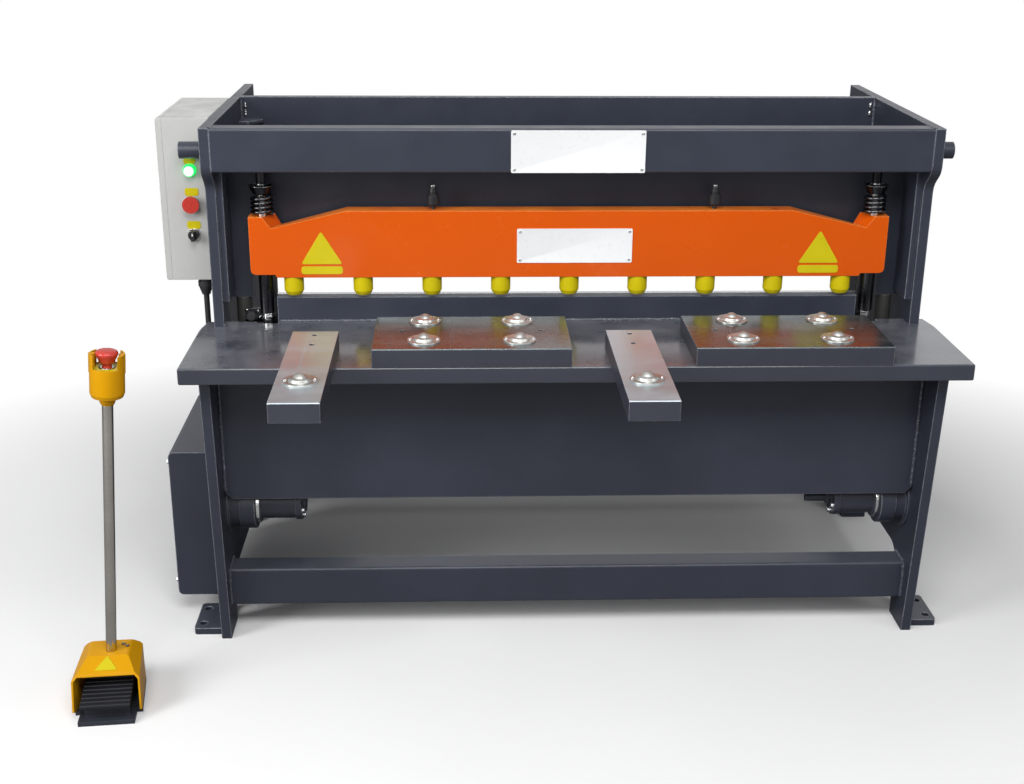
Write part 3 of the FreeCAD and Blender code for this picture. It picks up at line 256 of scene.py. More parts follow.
class Bench:
    """Short ways to add and wire nodes in one tree."""

    def __init__(self, tree):
        self.tree = tree

    def add(self, kind, **settings):
        """A new node, its inputs fed and its settings set by their names."""
        made = self.tree.nodes.new("ShaderNode" + kind)
        for key, value in settings.items():
            if key in made.inputs:
                self.feed(made.inputs[key], value)
            else:
                setattr(made, key, value)
        return made

    def feed(self, socket, value):
        """Links a socket to another one, or gives it a plain value."""
        if isinstance(value, bpy.types.NodeSocket):
            self.tree.links.new(value, socket)
        else:
            socket.default_value = value

    def group(self, tree, values):
        """A shared group with its own values."""
        made = self.add("Group", node_tree=tree)
        for label, value in values.items():
            self.feed(made.inputs[label], value)
        return made

    def dress(self, shader, source):
        """Gives a shader the colour, roughness and normal of a group."""
        for socket, label in (("Base Color", "Color"), ("Roughness", "Roughness"), ("Normal", "Normal")):
            self.feed(shader.inputs[socket], source.outputs[label])

    def sum(self, operation, a, b=0.0, clamp=False):
        made = self.add("Math", operation=operation, use_clamp=clamp)
        self.feed(made.inputs[0], a)
        self.feed(made.inputs[1], b)
        return made.outputs[0]

    def spread(self, value, low, high, to_low=0.0, to_high=1.0):
        """Spreads a range of values over another one."""
        made = self.add("MapRange", **{"Value": value, "From Min": low, "From Max": high,
                                       "To Min": to_low, "To Max": to_high})
        return made.outputs["Result"]

    def blend(self, share, a, b):
        """Mixes two colours."""
        made = self.add("Mix", data_type="RGBA")
        for index, value in ((0, share), (6, a), (7, b)):
            self.feed(made.inputs[index], value)
        return made.outputs[2]

    def noise(self, place, scale, detail=3.0, rough=0.5):
        return self.add("TexNoise", Vector=place, Scale=scale, Detail=detail, Roughness=rough).outputs["Fac"]

    def bump(self, height, distance, strength, normal=None):
        """Turns a height into a dented normal."""
        made = self.add("Bump", Distance=distance, Strength=strength, Height=height)
        if normal is not None:
            self.feed(made.inputs["Normal"], normal)
        return made.outputs[0]

    def stretched(self, scale, turn=(0.0, 0.0, 0.0)):
        """Object coordinates, turned and scaled differently along each axis."""
        place = self.add("TexCoord").outputs["Object"]
        return self.add("Mapping", Vector=place, Scale=scale, Rotation=turn).outputs["Vector"]


# %% Group 1: where the edges are


def make_edge_finder():
    """A soft normal near edges, and a mask that shows where they are."""
    tree, start, end = new_group("edge_finder", [("Radius", "f", 0.003)],
                                 [("Edge", "f"), ("Soft normal", "v")])
    b = Bench(tree)
    soft = b.add("Bevel", samples=4)
    b.feed(soft.inputs["Radius"], start.outputs["Radius"])
    plain = b.add("NewGeometry").outputs["Normal"]
    match = b.add("VectorMath", operation="DOT_PRODUCT")
    b.feed(match.inputs[0], soft.outputs["Normal"])
    b.feed(match.inputs[1], plain)
    b.feed(end.inputs["Edge"], b.spread(match.outputs["Value"], 0.995, 0.80))
    b.feed(end.inputs["Soft normal"], soft.outputs["Normal"])
    return tree


EDGE_FINDER = make_edge_finder()

# %% Group 2: sprayed paint


def make_sprayed_paint():
    """Paint with orange peel, slow changes of tone, top dust with a painted sheen, and worn edges with a
    painted highlight.
    """
    tree, start, end = new_group("sprayed_paint", [
        ("Paint", "c", (0.05, 0.055, 0.07, 1)),
        ("Worn and lit edge", "c", (0.2, 0.21, 0.23, 1)),
        ("Dust and sky sheen", "c", (0.30, 0.32, 0.35, 1)),
        ("Edge amount", "f", 0.5),
        ("Dust and sky sheen amount", "f", 0.2),
        ("Gloss", "f", 0.3),
        ("Tone change", "f", 0.1),
        ("Peel depth", "f", 0.1),
        ("Edge radius", "f", 0.003),
    ], [("Color", "c"), ("Roughness", "f"), ("Normal", "v")])
    b = Bench(tree)
    give = start.outputs
    place = b.add("TexCoord").outputs["Object"]
    finder = b.group(EDGE_FINDER, {"Radius": give["Edge radius"]})
    slow = b.noise(place, 2.2, 2.0)
    patchy = b.noise(place, 14.0, 4.0, 0.6)
    chips = b.noise(place, 160.0, 3.0, 0.7)
    tone = b.sum("ADD", b.sum("MULTIPLY", b.spread(slow, 0.3, 0.7, -1.0, 1.0), give["Tone change"]), 1.0)
    fine = b.sum("ADD", b.sum("MULTIPLY", b.spread(patchy, 0.3, 0.7, -0.5, 0.5), give["Tone change"]), tone)
    toned = b.add("VectorMath", operation="SCALE")
    b.feed(toned.inputs[0], give["Paint"])
    b.feed(toned.inputs["Scale"], fine)
    # Rubbed edges: the edge mask, broken up by chips, blends the paint towards the edge colour. This is wear
    # and also a painted highlight.
    rub_and_glint = b.sum("MULTIPLY", finder.outputs["Edge"], b.spread(chips, 0.42, 0.60, 0.45, 1.0))
    rub_and_glint = b.sum("MULTIPLY", rub_and_glint, give["Edge amount"], True)
    worn_and_lit = b.blend(rub_and_glint, toned.outputs[0], give["Worn and lit edge"])
    up = b.add("SeparateXYZ")
    b.feed(up.inputs[0], b.add("NewGeometry").outputs["Normal"])
    # Faces that look up take the dust colour: real dust, and on the orange paint a painted reflection of the
    # sky.
    top_dust_and_sheen = b.sum("MULTIPLY", b.spread(up.outputs["Z"], 0.75, 0.98), b.spread(patchy, 0.15, 0.85))
    top_dust_and_sheen = b.sum("MULTIPLY", top_dust_and_sheen, give["Dust and sky sheen amount"], True)
    b.feed(end.inputs["Color"], b.blend(top_dust_and_sheen, worn_and_lit, give["Dust and sky sheen"]))
    rough = b.sum("ADD", give["Gloss"], b.spread(patchy, 0.3, 0.7, -0.035, 0.05))
    b.feed(end.inputs["Roughness"], b.sum("ADD", rough, b.sum("MULTIPLY", top_dust_and_sheen, 0.5), True))
    peel = b.sum("ADD", b.noise(place, 95.0, 1.0), b.sum("MULTIPLY", b.noise(place, 420.0, 2.0), 0.4))
    b.feed(end.inputs["Normal"], b.bump(peel, 0.0006, give["Peel depth"], finder.outputs["Soft normal"]))
    return tree


SPRAYED_PAINT = make_sprayed_paint()

# %% Group 3: ground steel
# The grinder leaves fine parallel lines, a few deeper scratches and faint oil smears.


def make_ground_face():
    """Bare steel with grinding lines, smears, a few scratches and a painted highlight along its edges."""
    tree, start, end = new_group("ground_face", [
        ("Light steel", "c", (0.62, 0.63, 0.64, 1)),
        ("Dark steel", "c", (0.40, 0.41, 0.43, 1)),
        ("Gloss", "f", 0.2),
        ("Line depth", "f", 0.1),
    ], [("Color", "c"), ("Roughness", "f"), ("Normal", "v")])
    b = Bench(tree)
    give = start.outputs
    lines = b.noise(b.stretched((9.0, 1100.0, 700.0)), 1.0, 3.0, 0.65)
    smears = b.noise(b.stretched((5.0, 14.0, 9.0)), 1.0, 4.0, 0.6)
    scratch = b.noise(b.stretched((160.0, 4.0, 40.0), (0.0, 0.0, 0.5)), 1.0, 1.0)
    finder = b.group(EDGE_FINDER, {"Radius": 0.0015})
    share = b.sum("ADD", b.spread(lines, 0.35, 0.65, 0.0, 0.5), b.spread(smears, 0.35, 0.7, 0.0, 0.5), True)
    tone = b.blend(share, give["Dark steel"], give["Light steel"])
    # A painted highlight: near the edges the steel colour is blended towards a bright grey.
    painted_edge_glint = b.sum("MULTIPLY", finder.outputs["Edge"], 0.7)
    b.feed(end.inputs["Color"], b.blend(painted_edge_glint, tone, (0.8, 0.81, 0.82, 1)))
    rough = b.sum("ADD", give["Gloss"], b.spread(smears, 0.35, 0.7, -0.05, 0.10))
    b.feed(end.inputs["Roughness"], b.sum("ADD", rough, b.spread(scratch, 0.66, 0.74, 0.0, 0.12), True))
    b.feed(end.inputs["Normal"], b.bump(lines, 0.0003, give["Line depth"], finder.outputs["Soft normal"]))
    return tree


GROUND_FACE = make_ground_face()
print("groups:", [g.name for g in bpy.data.node_groups])

# %% [markdown]
# ## The finishes
# A material holds the Principled shader itself and takes its colour, roughness and normal from a group.
# Values that are the same all over a surface, such as the clear coat, stand on the shader's own socket.

# %% Painted finishes


def new_finish(name):
    """A material with its Principled shader ready to wire."""
    finish = bpy.data.materials.new(name)
    finish.use_nodes = True
    shader = finish.node_tree.nodes["Principled BSDF"]
    return finish, Bench(finish.node_tree), shader


def painted(name, paint, worn_and_lit, gloss, edge=0.5, dust_and_sky_sheen=0.15, change=0.10, peel=0.12, coat=0.0,
            radius=0.003, sheen=0.5, dust_and_sky_sheen_colour=(0.30, 0.32, 0.35)):
    """Sprayed paint in one colour, with its own top dust and painted sheen, and its worn edges with a painted
    highlight.
    """
    finish, b, shader = new_finish(name)
    b.dress(shader, b.group(SPRAYED_PAINT, {
        "Paint": (*paint, 1), "Worn and lit edge": (*worn_and_lit, 1), "Dust and sky sheen": (*dust_and_sky_sheen_colour, 1), "Gloss": gloss,
        "Edge amount": edge, "Dust and sky sheen amount": dust_and_sky_sheen, "Tone change": change, "Peel depth": peel,
        "Edge radius": radius}))
    shader.inputs["Coat Weight"].default_value = coat
    shader.inputs["Coat Roughness"].default_value = 0.12
    shader.inputs["Specular IOR Level"].default_value = sheen
    return finish


# The light edge colours of these paints stand for rubbed paint and also for a painted highlight along the
# edges.
slate_enamel = painted("slate_enamel", (0.030, 0.035, 0.051), (0.60, 0.63, 0.69), 0.34, edge=0.70,
                       dust_and_sky_sheen=0.16, radius=0.0036, sheen=0.45)
table_enamel = painted("table_enamel", (0.031, 0.036, 0.052), (0.55, 0.57, 0.60), 0.20, edge=0.75,
                       dust_and_sky_sheen=0.46, change=0.07, coat=0.7)
# The orange's light colour on faces that look up is a painted reflection of the sky, with little real dust.
orange_enamel = painted("orange_enamel", (0.62, 0.084, 0.001), (1.0, 0.50, 0.14), 0.24, edge=0.65,
                        dust_and_sky_sheen=0.60, change=0.02, peel=0.10, coat=0.15, sheen=0.25,
                        dust_and_sky_sheen_colour=(0.95, 0.38, 0.05))
cabinet_powder = painted("cabinet_powder", (0.45, 0.45, 0.436), (0.62, 0.62, 0.60), 0.42, edge=0.30,
                         dust_and_sky_sheen=0.90, change=0.02, peel=0.5, dust_and_sky_sheen_colour=(0.86, 0.86, 0.84))
motor_enamel = painted("motor_enamel", (0.05, 0.062, 0.080), (0.25, 0.26, 0.28), 0.38)
amber_moulding = painted("amber_moulding", (0.60, 0.285, 0.001), (0.90, 0.50, 0.04), 0.32, edge=0.40,
                         dust_and_sky_sheen=0.06, change=0.05, peel=0.25, coat=0.05, radius=0.0018, sheen=0.12,
                         dust_and_sky_sheen_colour=(0.85, 0.45, 0.02))
cast_enamel = painted("cast_enamel", (0.030, 0.035, 0.050), (0.34, 0.35, 0.38), 0.40, edge=0.6,
                      dust_and_sky_sheen=0.25, change=0.18, peel=0.9)
olive_enamel = painted("olive_enamel", (0.050, 0.050, 0.046), (0.16, 0.16, 0.15), 0.45)
print("paints:", slate_enamel.name, table_enamel.name, orange_enamel.name)

# %% Bare metals


def steel_values(light, dark, gloss, depth):
    """What the ground steel group is told."""
    return {"Light steel": (*light, 1), "Dark steel": (*dark, 1), "Gloss": gloss, "Line depth": depth}


def ground(name, light, dark, gloss, depth=0.12, bare=1.0):
    """Ground or drawn steel all over."""
    finish, b, shader = new_finish(name)
    b.dress(shader, b.group(GROUND_FACE, steel_values(light, dark, gloss, depth)))
    shader.inputs["Metallic"].default_value = bare
    return finish


ground_steel = ground("ground_steel_face", (0.64, 0.65, 0.67), (0.44, 0.45, 0.47), 0.16)
bright_steel = ground("bright_pressed_steel", (0.86, 0.86, 0.85), (0.66, 0.66, 0.65), 0.16, 0.05)
satin_pressing = ground("satin_pressing", (0.58, 0.58, 0.55), (0.44, 0.44, 0.42), 0.32, 0.03, 0.85)
drawn_tube = ground("drawn_tube", (0.66, 0.62, 0.55), (0.46, 0.43, 0.38), 0.05, 0.01)
black_oxide = ground("black_oxide", (0.075, 0.075, 0.08), (0.025, 0.025, 0.03), 0.26, 0.15)
spring_wire = ground("spring_wire", (0.16, 0.16, 0.17), (0.035, 0.035, 0.04), 0.20, 0.10)

# %% [markdown]
# The support bars are sawn from flat stock, painted on their sides and then ground on top. One material
# does both: the face that looks up is bare metal, the rest is enamel, chosen by the surface normal.

# %% A bar that is painted at its sides and ground on top


def ground_top(name, light, dark, gloss, metal):
    """Bare steel on what looks up, enamel on the rest."""
    finish, b, shader = new_finish(name)
    face = b.group(GROUND_FACE, steel_values(light, dark, gloss, 0.08))
    skin = b.group(SPRAYED_PAINT, {"Paint": (0.036, 0.039, 0.054, 1), "Worn and lit edge": (0.42, 0.43, 0.46, 1),
                                   "Gloss": 0.34, "Edge amount": 0.8})
    up = b.add("SeparateXYZ")
    b.feed(up.inputs[0], b.add("NewGeometry").outputs["Normal"])
    bare = b.spread(up.outputs["Z"], 0.6, 0.7)
    b.feed(shader.inputs["Metallic"], b.spread(up.outputs["Z"], 0.6, 0.7, 0.0, metal))
    b.feed(shader.inputs["Base Color"], b.blend(bare, skin.outputs["Color"], face.outputs["Color"]))
    rough = b.add("Mix", data_type="FLOAT")
    for index, value in ((0, bare), (2, skin.outputs["Roughness"]), (3, face.outputs["Roughness"])):
        b.feed(rough.inputs[index], value)
    b.feed(shader.inputs["Roughness"], rough.outputs[0])
    b.feed(shader.inputs["Normal"], skin.outputs["Normal"])
    return finish


block_finish = ground_top("support_block_finish", (0.22, 0.27, 0.28), (0.14, 0.18, 0.19), 0.24, 0.9)
arm_finish = ground_top("support_arm_finish", (0.58, 0.66, 0.70), (0.43, 0.50, 0.54), 0.34, 0.7)

# %% Rubber, plastic and the lit lamp


def moulded(name, colour, gloss, grain, depth, shift=0.06, through=0.0, sheen=0.5):
    """Moulded plastic or urethane with a fine grain."""
    finish, b, shader = new_finish(name)
    place = b.add("TexCoord").outputs["Object"]
    slow = b.noise(place, 18.0, 3.0)
    speck = b.noise(place, grain, 2.0, 0.6)
    tone = b.spread(slow, 0.3, 0.7, 1.0 - shift, 1.0 + shift)
    tinted = b.add("VectorMath", operation="SCALE")
    tinted.inputs[0].default_value = colour
    b.feed(tinted.inputs["Scale"], tone)
    b.feed(shader.inputs["Base Color"], tinted.outputs[0])
    b.feed(shader.inputs["Roughness"], b.spread(speck, 0.3, 0.7, gloss - 0.05, gloss + 0.07))
    finder = b.group(EDGE_FINDER, {"Radius": 0.0012})
    b.feed(shader.inputs["Normal"], b.bump(speck, 0.0003, depth, finder.outputs["Soft normal"]))
    shader.inputs["Specular IOR Level"].default_value = sheen
    shader.inputs["Subsurface Weight"].default_value = through
    shader.inputs["Subsurface Radius"].default_value = (0.012, 0.009, 0.002)
    return finish


yellow_urethane = moulded("yellow_urethane", (0.56, 0.46, 0.001), 0.34, 240.0, 0.15, 0.05, 0.12, 0.3)
black_moulding = moulded("black_moulding", (0.014, 0.014, 0.017), 0.40, 900.0, 0.5)
base_moulding = moulded("base_moulding", (0.026, 0.030, 0.040), 0.34, 900.0, 0.4)
ribbed_rubber = moulded("ribbed_rubber", (0.009, 0.0095, 0.013), 0.44, 500.0, 0.6, 0.2, sheen=0.28)
red_cap = moulded("red_cap", (0.50, 0.038, 0.026), 0.26, 300.0, 0.08)
yellow_foil = moulded("yellow_foil", (0.56, 0.47, 0.006), 0.30, 120.0, 0.10, 0.04, 0.0, 0.3)
white_enamel_plate = moulded("white_enamel_plate", (0.78, 0.785, 0.79), 0.30, 90.0, 0.05, 0.015)
cable_sheath = moulded("cable_sheath", (0.022, 0.022, 0.024), 0.38, 600.0, 0.4)


LAMP_MIDDLE = (-0.853, -0.089, 1.021)


def lit_lens(name):
    """A green lens that glows white-green in its middle."""
    finish, b, shader = new_finish(name)
    place = b.add("TexCoord").outputs["Object"]
    from_axis = b.add("VectorMath", operation="DISTANCE")
    b.feed(from_axis.inputs[0], place)
    from_axis.inputs[1].default_value = LAMP_MIDDLE
    middle = b.spread(from_axis.outputs["Value"], 0.013, 0.006)
    ripples = b.noise(place, 700.0, 1.0)
    b.feed(shader.inputs["Base Color"], b.blend(middle, (0.02, 0.35, 0.06, 1), (0.6, 1.0, 0.7, 1)))
    b.feed(shader.inputs["Emission Color"], b.blend(middle, (0.0, 0.42, 0.05, 1), (0.62, 1.0, 0.72, 1)))
    b.feed(shader.inputs["Roughness"], b.spread(ripples, 0.3, 0.7, 0.12, 0.25))
    shader.inputs["Emission Strength"].default_value = 2.6
    return finish


lamp_glow = lit_lens("green_lamp_glow")


def ripple_weld(name):
    """A weld bead under the same enamel, with spatter and ripples."""
    finish, b, shader = new_finish(name)
    place = b.add("TexCoord").outputs["Object"]
    speck = b.noise(place, 260.0, 4.0, 0.7)
    spatter = b.spread(speck, 0.52, 0.72)
    b.feed(shader.inputs["Base Color"], b.blend(spatter, (0.045, 0.050, 0.068, 1), (0.34, 0.35, 0.38, 1)))
    b.feed(shader.inputs["Roughness"], b.spread(speck, 0.3, 0.7, 0.26, 0.42))
    b.feed(shader.inputs["Normal"], b.bump(speck, 0.001, 0.5))
    return finish


weld_finish = ripple_weld("weld_under_enamel")
print("finishes:", len(bpy.data.materials))

# %% [markdown]
# ## Painting the solids
# A CAD node keeps its shape and gets its finish through its object's material slots.

# %% Which solid wears which finish
FINISH_OF = {
    slate_enamel: ["left_side_plate", "right_side_plate", "front_top_beam", "rear_cross_plate", "lower_beams",
                   "front_apron", "anchor_feet", "knife_bed", "ram_beam", "ram_stiffeners", "ram_guides",
                   "drive_cover", "rocker_arms", "lifting_bars", "post_sockets"],
    table_enamel: ["work_table"],
    orange_enamel: ["hold_down_beam"],
    cabinet_powder: ["cabinet_box", "cabinet_door"],
    motor_enamel: ["drive_motor"],
    cast_enamel: ["crank_housings", "rocker_bearings"],
    ground_steel: ["lower_blade", "upper_blade", "drive_shaft"],
    satin_pressing: ["ball_units"],
    bright_steel: ["button_collars", "guide_posts"],
    drawn_tube: ["pedal_column"],
    black_oxide: ["stop_sleeves"],
    olive_enamel: ["connecting_rods"],
    arm_finish: ["support_arms"],
    block_finish: ["support_blocks"],
    yellow_urethane: ["pressure_pads"],
    black_moulding: ["lock_knobs", "selector_switch"],
    base_moulding: ["pedal_base"],
    ribbed_rubber: ["pedal_treadle"],
    cable_sheath: ["motor_lead"],
    red_cap: ["stop_button", "stop_mushroom"],
    lamp_glow: ["signal_lamp"],
    amber_moulding: ["pedal_guard", "stop_case"],
}
for finish, names in FINISH_OF.items():
    for name in names:
        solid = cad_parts[name]
        for place in range(max(1, len(solid.material_slots))):
            if not solid.material_slots:
                solid.data.materials.append(finish)
            solid.material_slots[place].link = "OBJECT"
            solid.material_slots[place].material = finish
bare = set(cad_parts) - {n for names in FINISH_OF.values() for n in names} - {"hold_down_springs"}
print("nodes without a finish:", sorted(bare))

# %% [markdown]
# ## Springs
# The photograph shows two black compression springs on the guide posts. The solid's wire has only six
# sides, so we wind a smooth one: a small circle is carried round a helix with the Screw modifier. It
# stands for the solid, which is hidden, and its upper end stays under the cup.

# %% Wind the two springs
spring_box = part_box("hold_down_springs")
SPRING_LOW, SPRING_TOP = spring_box[0][2], spring_box[1][2]
HALF_SPRING = 0.024
POST_X = spring_box[1][0] - HALF_SPRING
POST_Y = (spring_box[0][1] + spring_box[1][1]) / 2
WIRE = 0.0034
COIL_RADIUS = 0.0222
TURNS = 4.25


def wind_spring(name, x):
    """One coil with a round wire, from the boss up to the cup."""
    nothing_selected()
    bpy.ops.mesh.primitive_circle_add(vertices=12, radius=WIRE, location=(COIL_RADIUS, 0, 0),
                                      rotation=(math.pi / 2, 0, 0))
    piece = bpy.context.object
    put_in_mesh(piece)
    screw = piece.modifiers.new("helix", "SCREW")
    screw.angle = TURNS * 2 * math.pi
    screw.screw_offset = SPRING_TOP - SPRING_LOW - 2 * WIRE
    screw.steps = screw.render_steps = 150
    screw.axis = "Z"
    only(piece)
    bpy.ops.object.modifier_apply(modifier="helix")
    pick(piece, "edges", lambda edge: edge.is_boundary)
    bpy.ops.mesh.edge_face_add()
    edit_done()
    piece.location = (x, POST_Y, SPRING_LOW + WIRE)
    finish_piece(piece, name, spring_wire, "frame", 40)
    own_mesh(piece)
    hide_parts("hold_down_springs")
    return piece


for side, x in (("left", -POST_X), ("right", POST_X)):
    print(wind_spring(side + "_spring", x).name, "at", round(x, 4))

# %% [markdown]
# ## Weld beads
# The frame is welded, and the beads show as thin bright lines where plates meet. A bead is a fillet
# with a ripple every few millimetres. We extrude a small ring step by step and swell every other ring.

# %% Lay a bead along a seam


def lay_bead(start, end, size=0.004, ripple=0.006):
    """A rippled bead from start to end, still without a finish."""
    start, end = Vector(start), Vector(end)
    run = end - start
    steps = max(6, int(run.length / ripple))
    nothing_selected()
    bpy.ops.mesh.primitive_cylinder_add(vertices=8, radius=size, depth=run.length, end_fill_type="TRIFAN")
    piece = bpy.context.object
    pick(piece, "edges", lambda edge: abs(edge.verts[0].co.z - edge.verts[1].co.z) > run.length / 2)
    bpy.ops.mesh.subdivide(number_cuts=steps)
    edit_done()
    for vertex in piece.data.vertices:
        phase = (vertex.co.z / run.length + 0.5) * steps * 2.2
        swell = 1.0 + 0.13 * math.sin(phase) + 0.07 * math.sin(phase * 0.37 + start.x * 40)
        vertex.co.x *= swell
        vertex.co.y *= swell
    turn = run.to_track_quat("Z", "Y").to_matrix().to_4x4()
    piece.data.transform(Matrix.Translation((start + end) / 2) @ turn)
    return piece


def weld_set(name, seams, size=0.004):
    """Several beads joined into one piece."""
    beads = [lay_bead(a, b, size) for a, b in seams]
    return finish_piece(joined(beads), name, weld_finish, "frame", 50)


# %% Find the seams from the solids' own boxes
left_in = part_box("left_side_plate")[1][0]
right_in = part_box("right_side_plate")[0][0]
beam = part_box("front_top_beam")
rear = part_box("rear_cross_plate")
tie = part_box("lower_beams")
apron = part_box("front_apron")
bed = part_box("knife_bed")
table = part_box("work_table")
TIE_REAR = tie[0][1] + 0.062
TABLE_TOP = table[1][2]

top_seams, low_seams = [], []
for x in (left_in, right_in):
    top_seams += [
        ((x, beam[0][1] + 0.003, beam[1][2] - 0.001), (x, beam[1][1], beam[1][2] - 0.001)),
        ((x, beam[1][1], beam[0][2]), (x, beam[1][1], beam[1][2] - 0.002)),
        ((x, rear[0][1], rear[0][2]), (x, rear[0][1], rear[1][2] - 0.002)),
        ((x, rear[1][1], rear[0][2]), (x, rear[1][1], rear[1][2] - 0.002)),
    ]
    low_seams += [
        ((x, TIE_REAR, tie[0][2]), (x, TIE_REAR, tie[1][2])),
        ((x, tie[0][1], tie[0][2] + 0.004), (x, tie[0][1], tie[1][2] - 0.004)),
        ((x, tie[0][1] + 0.004, tie[1][2]), (x, TIE_REAR, tie[1][2])),
    ]
for x in (apron[0][0], apron[1][0]):
    y = apron[0][1] + 0.001
    low_seams.append(((x, y, apron[0][2] + 0.02), (x, y, apron[1][2] - 0.004)))
weld_set("top_frame_welds", top_seams)
weld_set("lower_frame_welds", low_seams)
BED_HALF = 0.655
weld_set("table_welds", [
    ((-BED_HALF, bed[0][1] - 0.001, TABLE_TOP + 0.001), (BED_HALF, bed[0][1] - 0.001, TABLE_TOP + 0.001)),
    ((left_in - 0.001, -0.206, TABLE_TOP), (left_in - 0.001, -0.172, TABLE_TOP)),
], 0.0035)
FOOT_Y, FOOT_HALF, FOOT_TOP = 0.30, 0.056, 0.016
foot_seams = []
for x in (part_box("left_side_plate")[0][0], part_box("right_side_plate")[1][0]):
    for y in (-FOOT_Y, FOOT_Y):
        foot_seams.append(((x, y - FOOT_HALF, FOOT_TOP), (x, y + FOOT_HALF, FOOT_TOP)))
weld_set("foot_welds", foot_seams, 0.005)
print("weld pieces laid")

# %% [markdown]
# ## Blank plates
# The beam and the hold-down each carry a bare white plate with a screw at each corner. Plain yellow foils
# sit on the hold-down, the cabinet and the foot guard. A thin sheet gets its rounded corners by
# bevelling the four short edges, and its rim by an inset that is pushed in a hair.

# %% Cut a plate and press its rim


def thin_plate(low, high, corner=0.003):
    """A thin upright plate with rounded corners and a pressed rim on its front."""
    piece = bar(low, high)
    thick = high[1] - low[1]
    bevelled(piece, "edges", lambda edge: abs(edge.verts[0].co.y - edge.verts[1].co.y) > thick * 0.9,
             corner, 4)
    pick(piece, "faces", lambda face: face.normal.y < -0.9)
    bpy.ops.mesh.inset(thickness=0.0012)
    bpy.ops.transform.translate(value=(0, thick * 0.25, 0))
    edit_done()
    return piece


def round_screw(radius, height, along="-y"):
    """A small pan-head screw with a hex socket, made to point along -Y or +Z from the origin."""
    piece = bevelled(disc((0, 0, height / 2), radius, height, 24), "faces", faces_up, height * 0.35, 3)
    cut_out(piece, disc((0, 0, height * 0.95), radius * 0.5, height, 6))
    if along == "-y":
        piece.data.transform(Matrix.Rotation(math.pi / 2, 4, "X"))
    return piece


PLATES = [
    ("beam_plate", (-0.137, -0.2515, 1.049), (0.151, -0.2500, 1.140), "frame"),
    ("hold_down_plate", (-0.120, -0.1835, 0.833), (0.138, -0.1820, 0.911), "hold_down"),
]
SCREW_IN = 0.007
for name, low, high, body in PLATES:
    finish_piece(thin_plate(low, high), name, white_enamel_plate, body, 30)
    corners = [at(x, low[1] + 0.0004, z) for x in (low[0] + SCREW_IN, high[0] - SCREW_IN)
               for z in (low[2] + SCREW_IN, high[2] - SCREW_IN)]
    finish_piece(copies(round_screw(0.0033, 0.0016), corners), name + "_screws", bright_steel, body,
                 30)

# %% Yellow foils


def foil(points, name, body, turn=None, thick=0.0008, corner=0.006):
    """A thin plain foil from its corner points in the XZ plane, its corners rounded."""
    nothing_selected()
    bpy.ops.mesh.primitive_circle_add(vertices=len(points), radius=1, fill_type="NGON")
    piece = bpy.context.object
    for vertex, (x, y, z) in zip(piece.data.vertices, points):
        vertex.co = (x, y, z)
    pick(piece, "faces", lambda face: True)
    bpy.ops.mesh.bevel(offset=corner, segments=5, affect="VERTICES")
    bpy.ops.mesh.select_all(action="SELECT")
    bpy.ops.mesh.normals_make_consistent(inside=False)
    edit_done()
    wall = piece.modifiers.new("foil", "SOLIDIFY")
    wall.thickness = thick
    wall.offset = 0.0
    if turn:
        piece.data.transform(turn)
    return finish_piece(piece, name, yellow_foil, body, 30)


FOIL_Y, FOIL_HALF = -0.1824, 0.046
for side, x in (("left", -0.5545), ("right", 0.561)):
    low_x, high_x = x - FOIL_HALF, x + FOIL_HALF
    foil([(low_x, FOIL_Y, 0.831), (high_x, FOIL_Y, 0.831), (x, FOIL_Y, 0.906)], side + "_hold_foil",
         "hold_down")
    foil([(low_x, FOIL_Y, 0.808), (high_x, FOIL_Y, 0.808), (high_x, FOIL_Y, 0.826), (low_x, FOIL_Y, 0.826)],
         side + "_hold_strip", "hold_down")
LABEL_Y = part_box("cabinet_box")[0][1] - 0.0004
for name, low_x, high_x, low_z, high_z in (("lamp_label", -0.866, -0.839, 1.0345, 1.048),
                                           ("stop_label", -0.868, -0.837, 0.962, 0.980),
                                           ("selector_label", -0.868, -0.837, 0.886, 0.904)):
    foil([(low_x, LABEL_Y, low_z), (high_x, LABEL_Y, low_z), (high_x, LABEL_Y, high_z),
          (low_x, LABEL_Y, high_z)], name, "frame")
print("plates and foils fitted")

# %% [markdown]
# ## Screws, caps and small fittings
# Small bright things tell the eye how big a machine is. A screw is modelled once and copied.

# %% Ball unit screws
BAR_THICK, FLANGE_THICK, SCREW_OUT = 0.040, 0.003, 0.0285
BALL_FACE = TABLE_TOP + BAR_THICK + FLANGE_THICK
BALL_PLACES = [(-0.5542, -0.691), (0.1123, -0.691)]
for middle in (-0.2235, 0.4475):
    for dx in (-0.100, 0.100):
        for dy in (-0.0685, 0.0685):
            BALL_PLACES.append((middle + dx, -0.3715 + dy))
places = [at(x + dx, y, BALL_FACE) for x, y in BALL_PLACES for dx in (-SCREW_OUT, SCREW_OUT)]
finish_piece(copies(round_screw(0.0042, 0.0022, "z"), places), "ball_flange_screws", ground_steel, "frame",
             30)

# %% Silver caps on the hand screws
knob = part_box("lock_knobs")
KNOB_Y = (knob[0][1] + knob[1][1]) / 2
for name, x in (("left_knob_cap", -0.306), ("right_knob_cap", 0.322)):
    cap = disc((x, KNOB_Y, knob[1][2] + 0.001), 0.0062, 0.006, 24)
    pick(cap, "faces", faces_up)
    bpy.ops.mesh.bevel(offset=0.0015, segments=3, affect="EDGES")
    bpy.ops.mesh.inset(thickness=0.0012)
    bpy.ops.transform.translate(value=(0, 0, -0.0008))
    edit_done()
    finish_piece(cap, name, bright_steel, "hold_down", 30)

# %% Hex bolts


WASHER = 0.002


